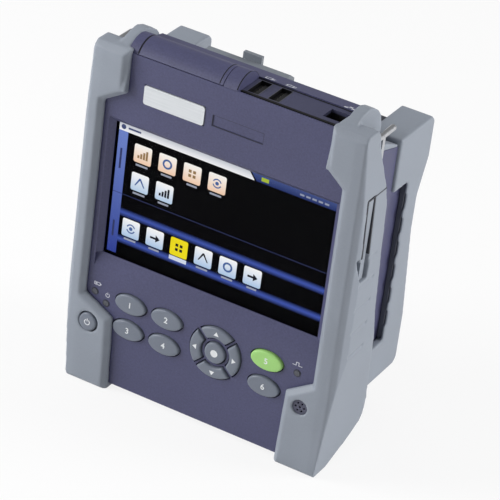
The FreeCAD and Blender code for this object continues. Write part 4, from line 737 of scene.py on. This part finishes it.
# ---- The optical connectors and their door -----------------------------------------------------
# Two fibre adapters stand in a well under a rounded door, which swings back on a steel pin in the
# crown. Thin dark strips around the door's ends and the end of the crown are painted shade in the
# gaps there.
steel = metal("bright_steel", linear(196, 198, 202), 0.28)
zinc = metal("plated_zinc", linear(204, 206, 210), 0.2)
dressed(case_plastic, "port_door", width=0.0002)
dressed(zinc, "fault_locator_port", "power_meter_port", width=0.0001)
dressed(steel, "door_hinge_pin", width=0)
low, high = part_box("port_door")
half, rise = (high.y - low.y) / 2, high.z - low.z
crown_radius = (half * half + rise * rise) / (2 * rise)
end_free = 1.5
reach = math.degrees(math.asin(half / crown_radius)) - end_free
ACROSS = (Vector((0, 1, 0)), Vector((0, 0, 1)))
end_shade_sink, end_shade_proud, end_shade_steps = 0.0001, 0.00003, 32
door_cap, crown_end, ring_in = 0.0019, 0.0022, 0.0004
arch = [band(0, 0, crown_radius - end_shade_sink, crown_radius + end_shade_proud, 90 - reach, 90 + reach,
             end_shade_steps)]
END_GAP_SHADES = [
    # name, where it lies along the crown, its thickness, and the body it rides on
    ("door_left_gap_shade", low.x, 0.0005, "door"),
    ("door_right_gap_shade", high.x - door_cap, 0.00045, "door"),
    ("crown_end_gap_shade", crown_end - ring_in, 0.00042, "main"),
]
for name, x, thick, body in END_GAP_SHADES:
    crown_centre = Vector((x, low.y + half, high.z - crown_radius))
    fitted(cut_shapes(name, arch, crown_centre, ACROSS, thick), gap_shade, body)

# ---- The boards --------------------------------------------------------------------------------
# A green board carries the display and the keys' contacts, and screws hold it to the front
# housing. The module has one of its own, which is made and screwed in the same way.
mask_green, trace_green = linear(28, 84, 56), linear(58, 124, 84)
trace_scale, trace_edge = 420.0, 0.42
board_green = Finish("circuit_board", mask_green, Roughness=0.4)
traces = board_green.node("ShaderNodeTexVoronoi", {"distance": "MANHATTAN"}, Scale=trace_scale,
                          Vector=board_green.place)
board_green.feed("Base Color", board_green.mix(traces > trace_edge, mask_green, trace_green))
dressed(board_green, "main_board", "module_board", width=0)
dressed(steel, "board_screws", "module_screws", width=0)

# ---- The rear housing's fittings ---------------------------------------------------------------
# The battery lies in a bay under its own cover. The docking socket takes the module's plug, the
# power inlet is at the left, and four blackened screws close the case.
dark_plastic = moulded("dark_grey_plastic", linear(66, 69, 80))
dressed(dark_plastic, "battery_cover", width=0.0005)
wrap = Finish("battery_wrap", linear(56, 62, 76), Roughness=0.35)
wrap.sheen(0.28, 0.44, size=0.004)
dressed(wrap, "battery_pack", width=0.0008)
dressed(black_plastic, "docking_socket", "power_inlet", width=0.0001)
blackened = metal("blackened_steel", linear(40, 40, 44), 0.4)
dressed(blackened, "housing_screws", width=0.0002)

# ---- The bumpers -------------------------------------------------------------------------------
# Thick grey rubber over both sides of the case, moulded with generous rounds and pulled over its
# corners. Steel hooks for a strap come out of its shoulders, over small rubber pads.
bumper_rubber = rubber("bumper_rubber", linear(141, 148, 159))
pillowed(bumper_rubber, "bumper_left", cell=0.0006, rounds=5)
pillowed(bumper_rubber, "bumper_right", cell=0.0005, rounds=4)
dressed(bumper_rubber, "strap_pad_left", "strap_pad_right", width=0.0005)
dressed(steel, "strap_hook_left", "strap_hook_right", width=0.0002)

# ---- The stylus --------------------------------------------------------------------------------
# A flat pen in the bumper's grey rests in a slot in the right bumper and is drawn out sideways.
# Dark strips in the gaps beside and above it are painted shade, and the bumper's dark seam runs
# back from the slot's top.
pen_plastic = moulded("stylus_plastic", linear(142, 149, 160), speckle=0.25)
dressed(pen_plastic, "stylus", width=0.0013, segments=4)
low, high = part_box("stylus")
slot_low, slot_high, slot_top, slot_floor = 0.1110, 0.1380, 0.1386, 0.0660
side_low, side_high, seam_deep = 0.06932, 0.06832, 0.0006
gap_shade_wide, gap_shade_free, bumper_back = 0.00085, 0.00005, -0.0136
front_start, back_start = low.y - gap_shade_free - gap_shade_wide, high.y + gap_shade_free
seam_start = back_start + gap_shade_wide
# One dark colour for the painted shade in the gaps beside and above the pen, and for the bumper's
# seam.
gap_shade_and_seam_rubber = rubber("stylus_gap_shade_and_seam", linear(40, 42, 50))
UPWARD = (Vector((0, 0, 1)), Vector((1, 0, 0)))
side_gap_shade = [[(slot_low, slot_floor), (slot_high, slot_floor), (slot_high, side_high),
             (slot_low, side_low)]]
top_gap_shade = [bar(slot_high, slot_floor, slot_top, side_high)]
seam = [bar(slot_high, side_high - seam_deep, slot_top, side_high)]
SLOT_STRIPS = [
    # name, shape, where it starts, and how far back it reaches
    ("stylus_gap_shade_front", side_gap_shade, front_start, gap_shade_wide),
    ("stylus_gap_shade_back", side_gap_shade, back_start, gap_shade_wide),
    ("stylus_gap_shade_top", top_gap_shade, front_start, seam_start - front_start),
    ("bumper_seam", seam, seam_start, bumper_back - seam_start),
]
for name, outlines, start, thick in SLOT_STRIPS:
    fitted(cut_shapes(name, outlines, Vector((0, start, 0)), UPWARD, thick), gap_shade_and_seam_rubber, "main")

# ---- The plug-in module ------------------------------------------------------------------------
# A violet box with a dark cover plugs onto the back, held by two thumb screws. Rubber guards with
# finger grips wrap its sides, and a grey lid covers its two fibre adapters.
dressed(case_plastic, "module_housing", width=0.0004)
dressed(dark_plastic, "module_rear_cover", width=0.0006)
for node in ("module_bumper_left", "module_bumper_right"):
    pillowed(bumper_rubber, node, cell=0.0006, rounds=9)
grip_rubber = rubber("grip_rubber", linear(80, 84, 95))
dressed(grip_rubber, "module_grip_left", "module_grip_right", width=0.0003)
lid_plastic = moulded("lid_plastic", linear(124, 130, 138), speckle=0.3)
dressed(lid_plastic, "module_port_cover", width=0.0003)
dressed(steel, "module_cover_pin", width=0)
dressed(zinc, "optical_port_left", "optical_port_right", width=0.0001)
dressed(black_plastic, "docking_plug", width=0.0001)
dressed(blackened, "thumb_screws", width=0.0003)
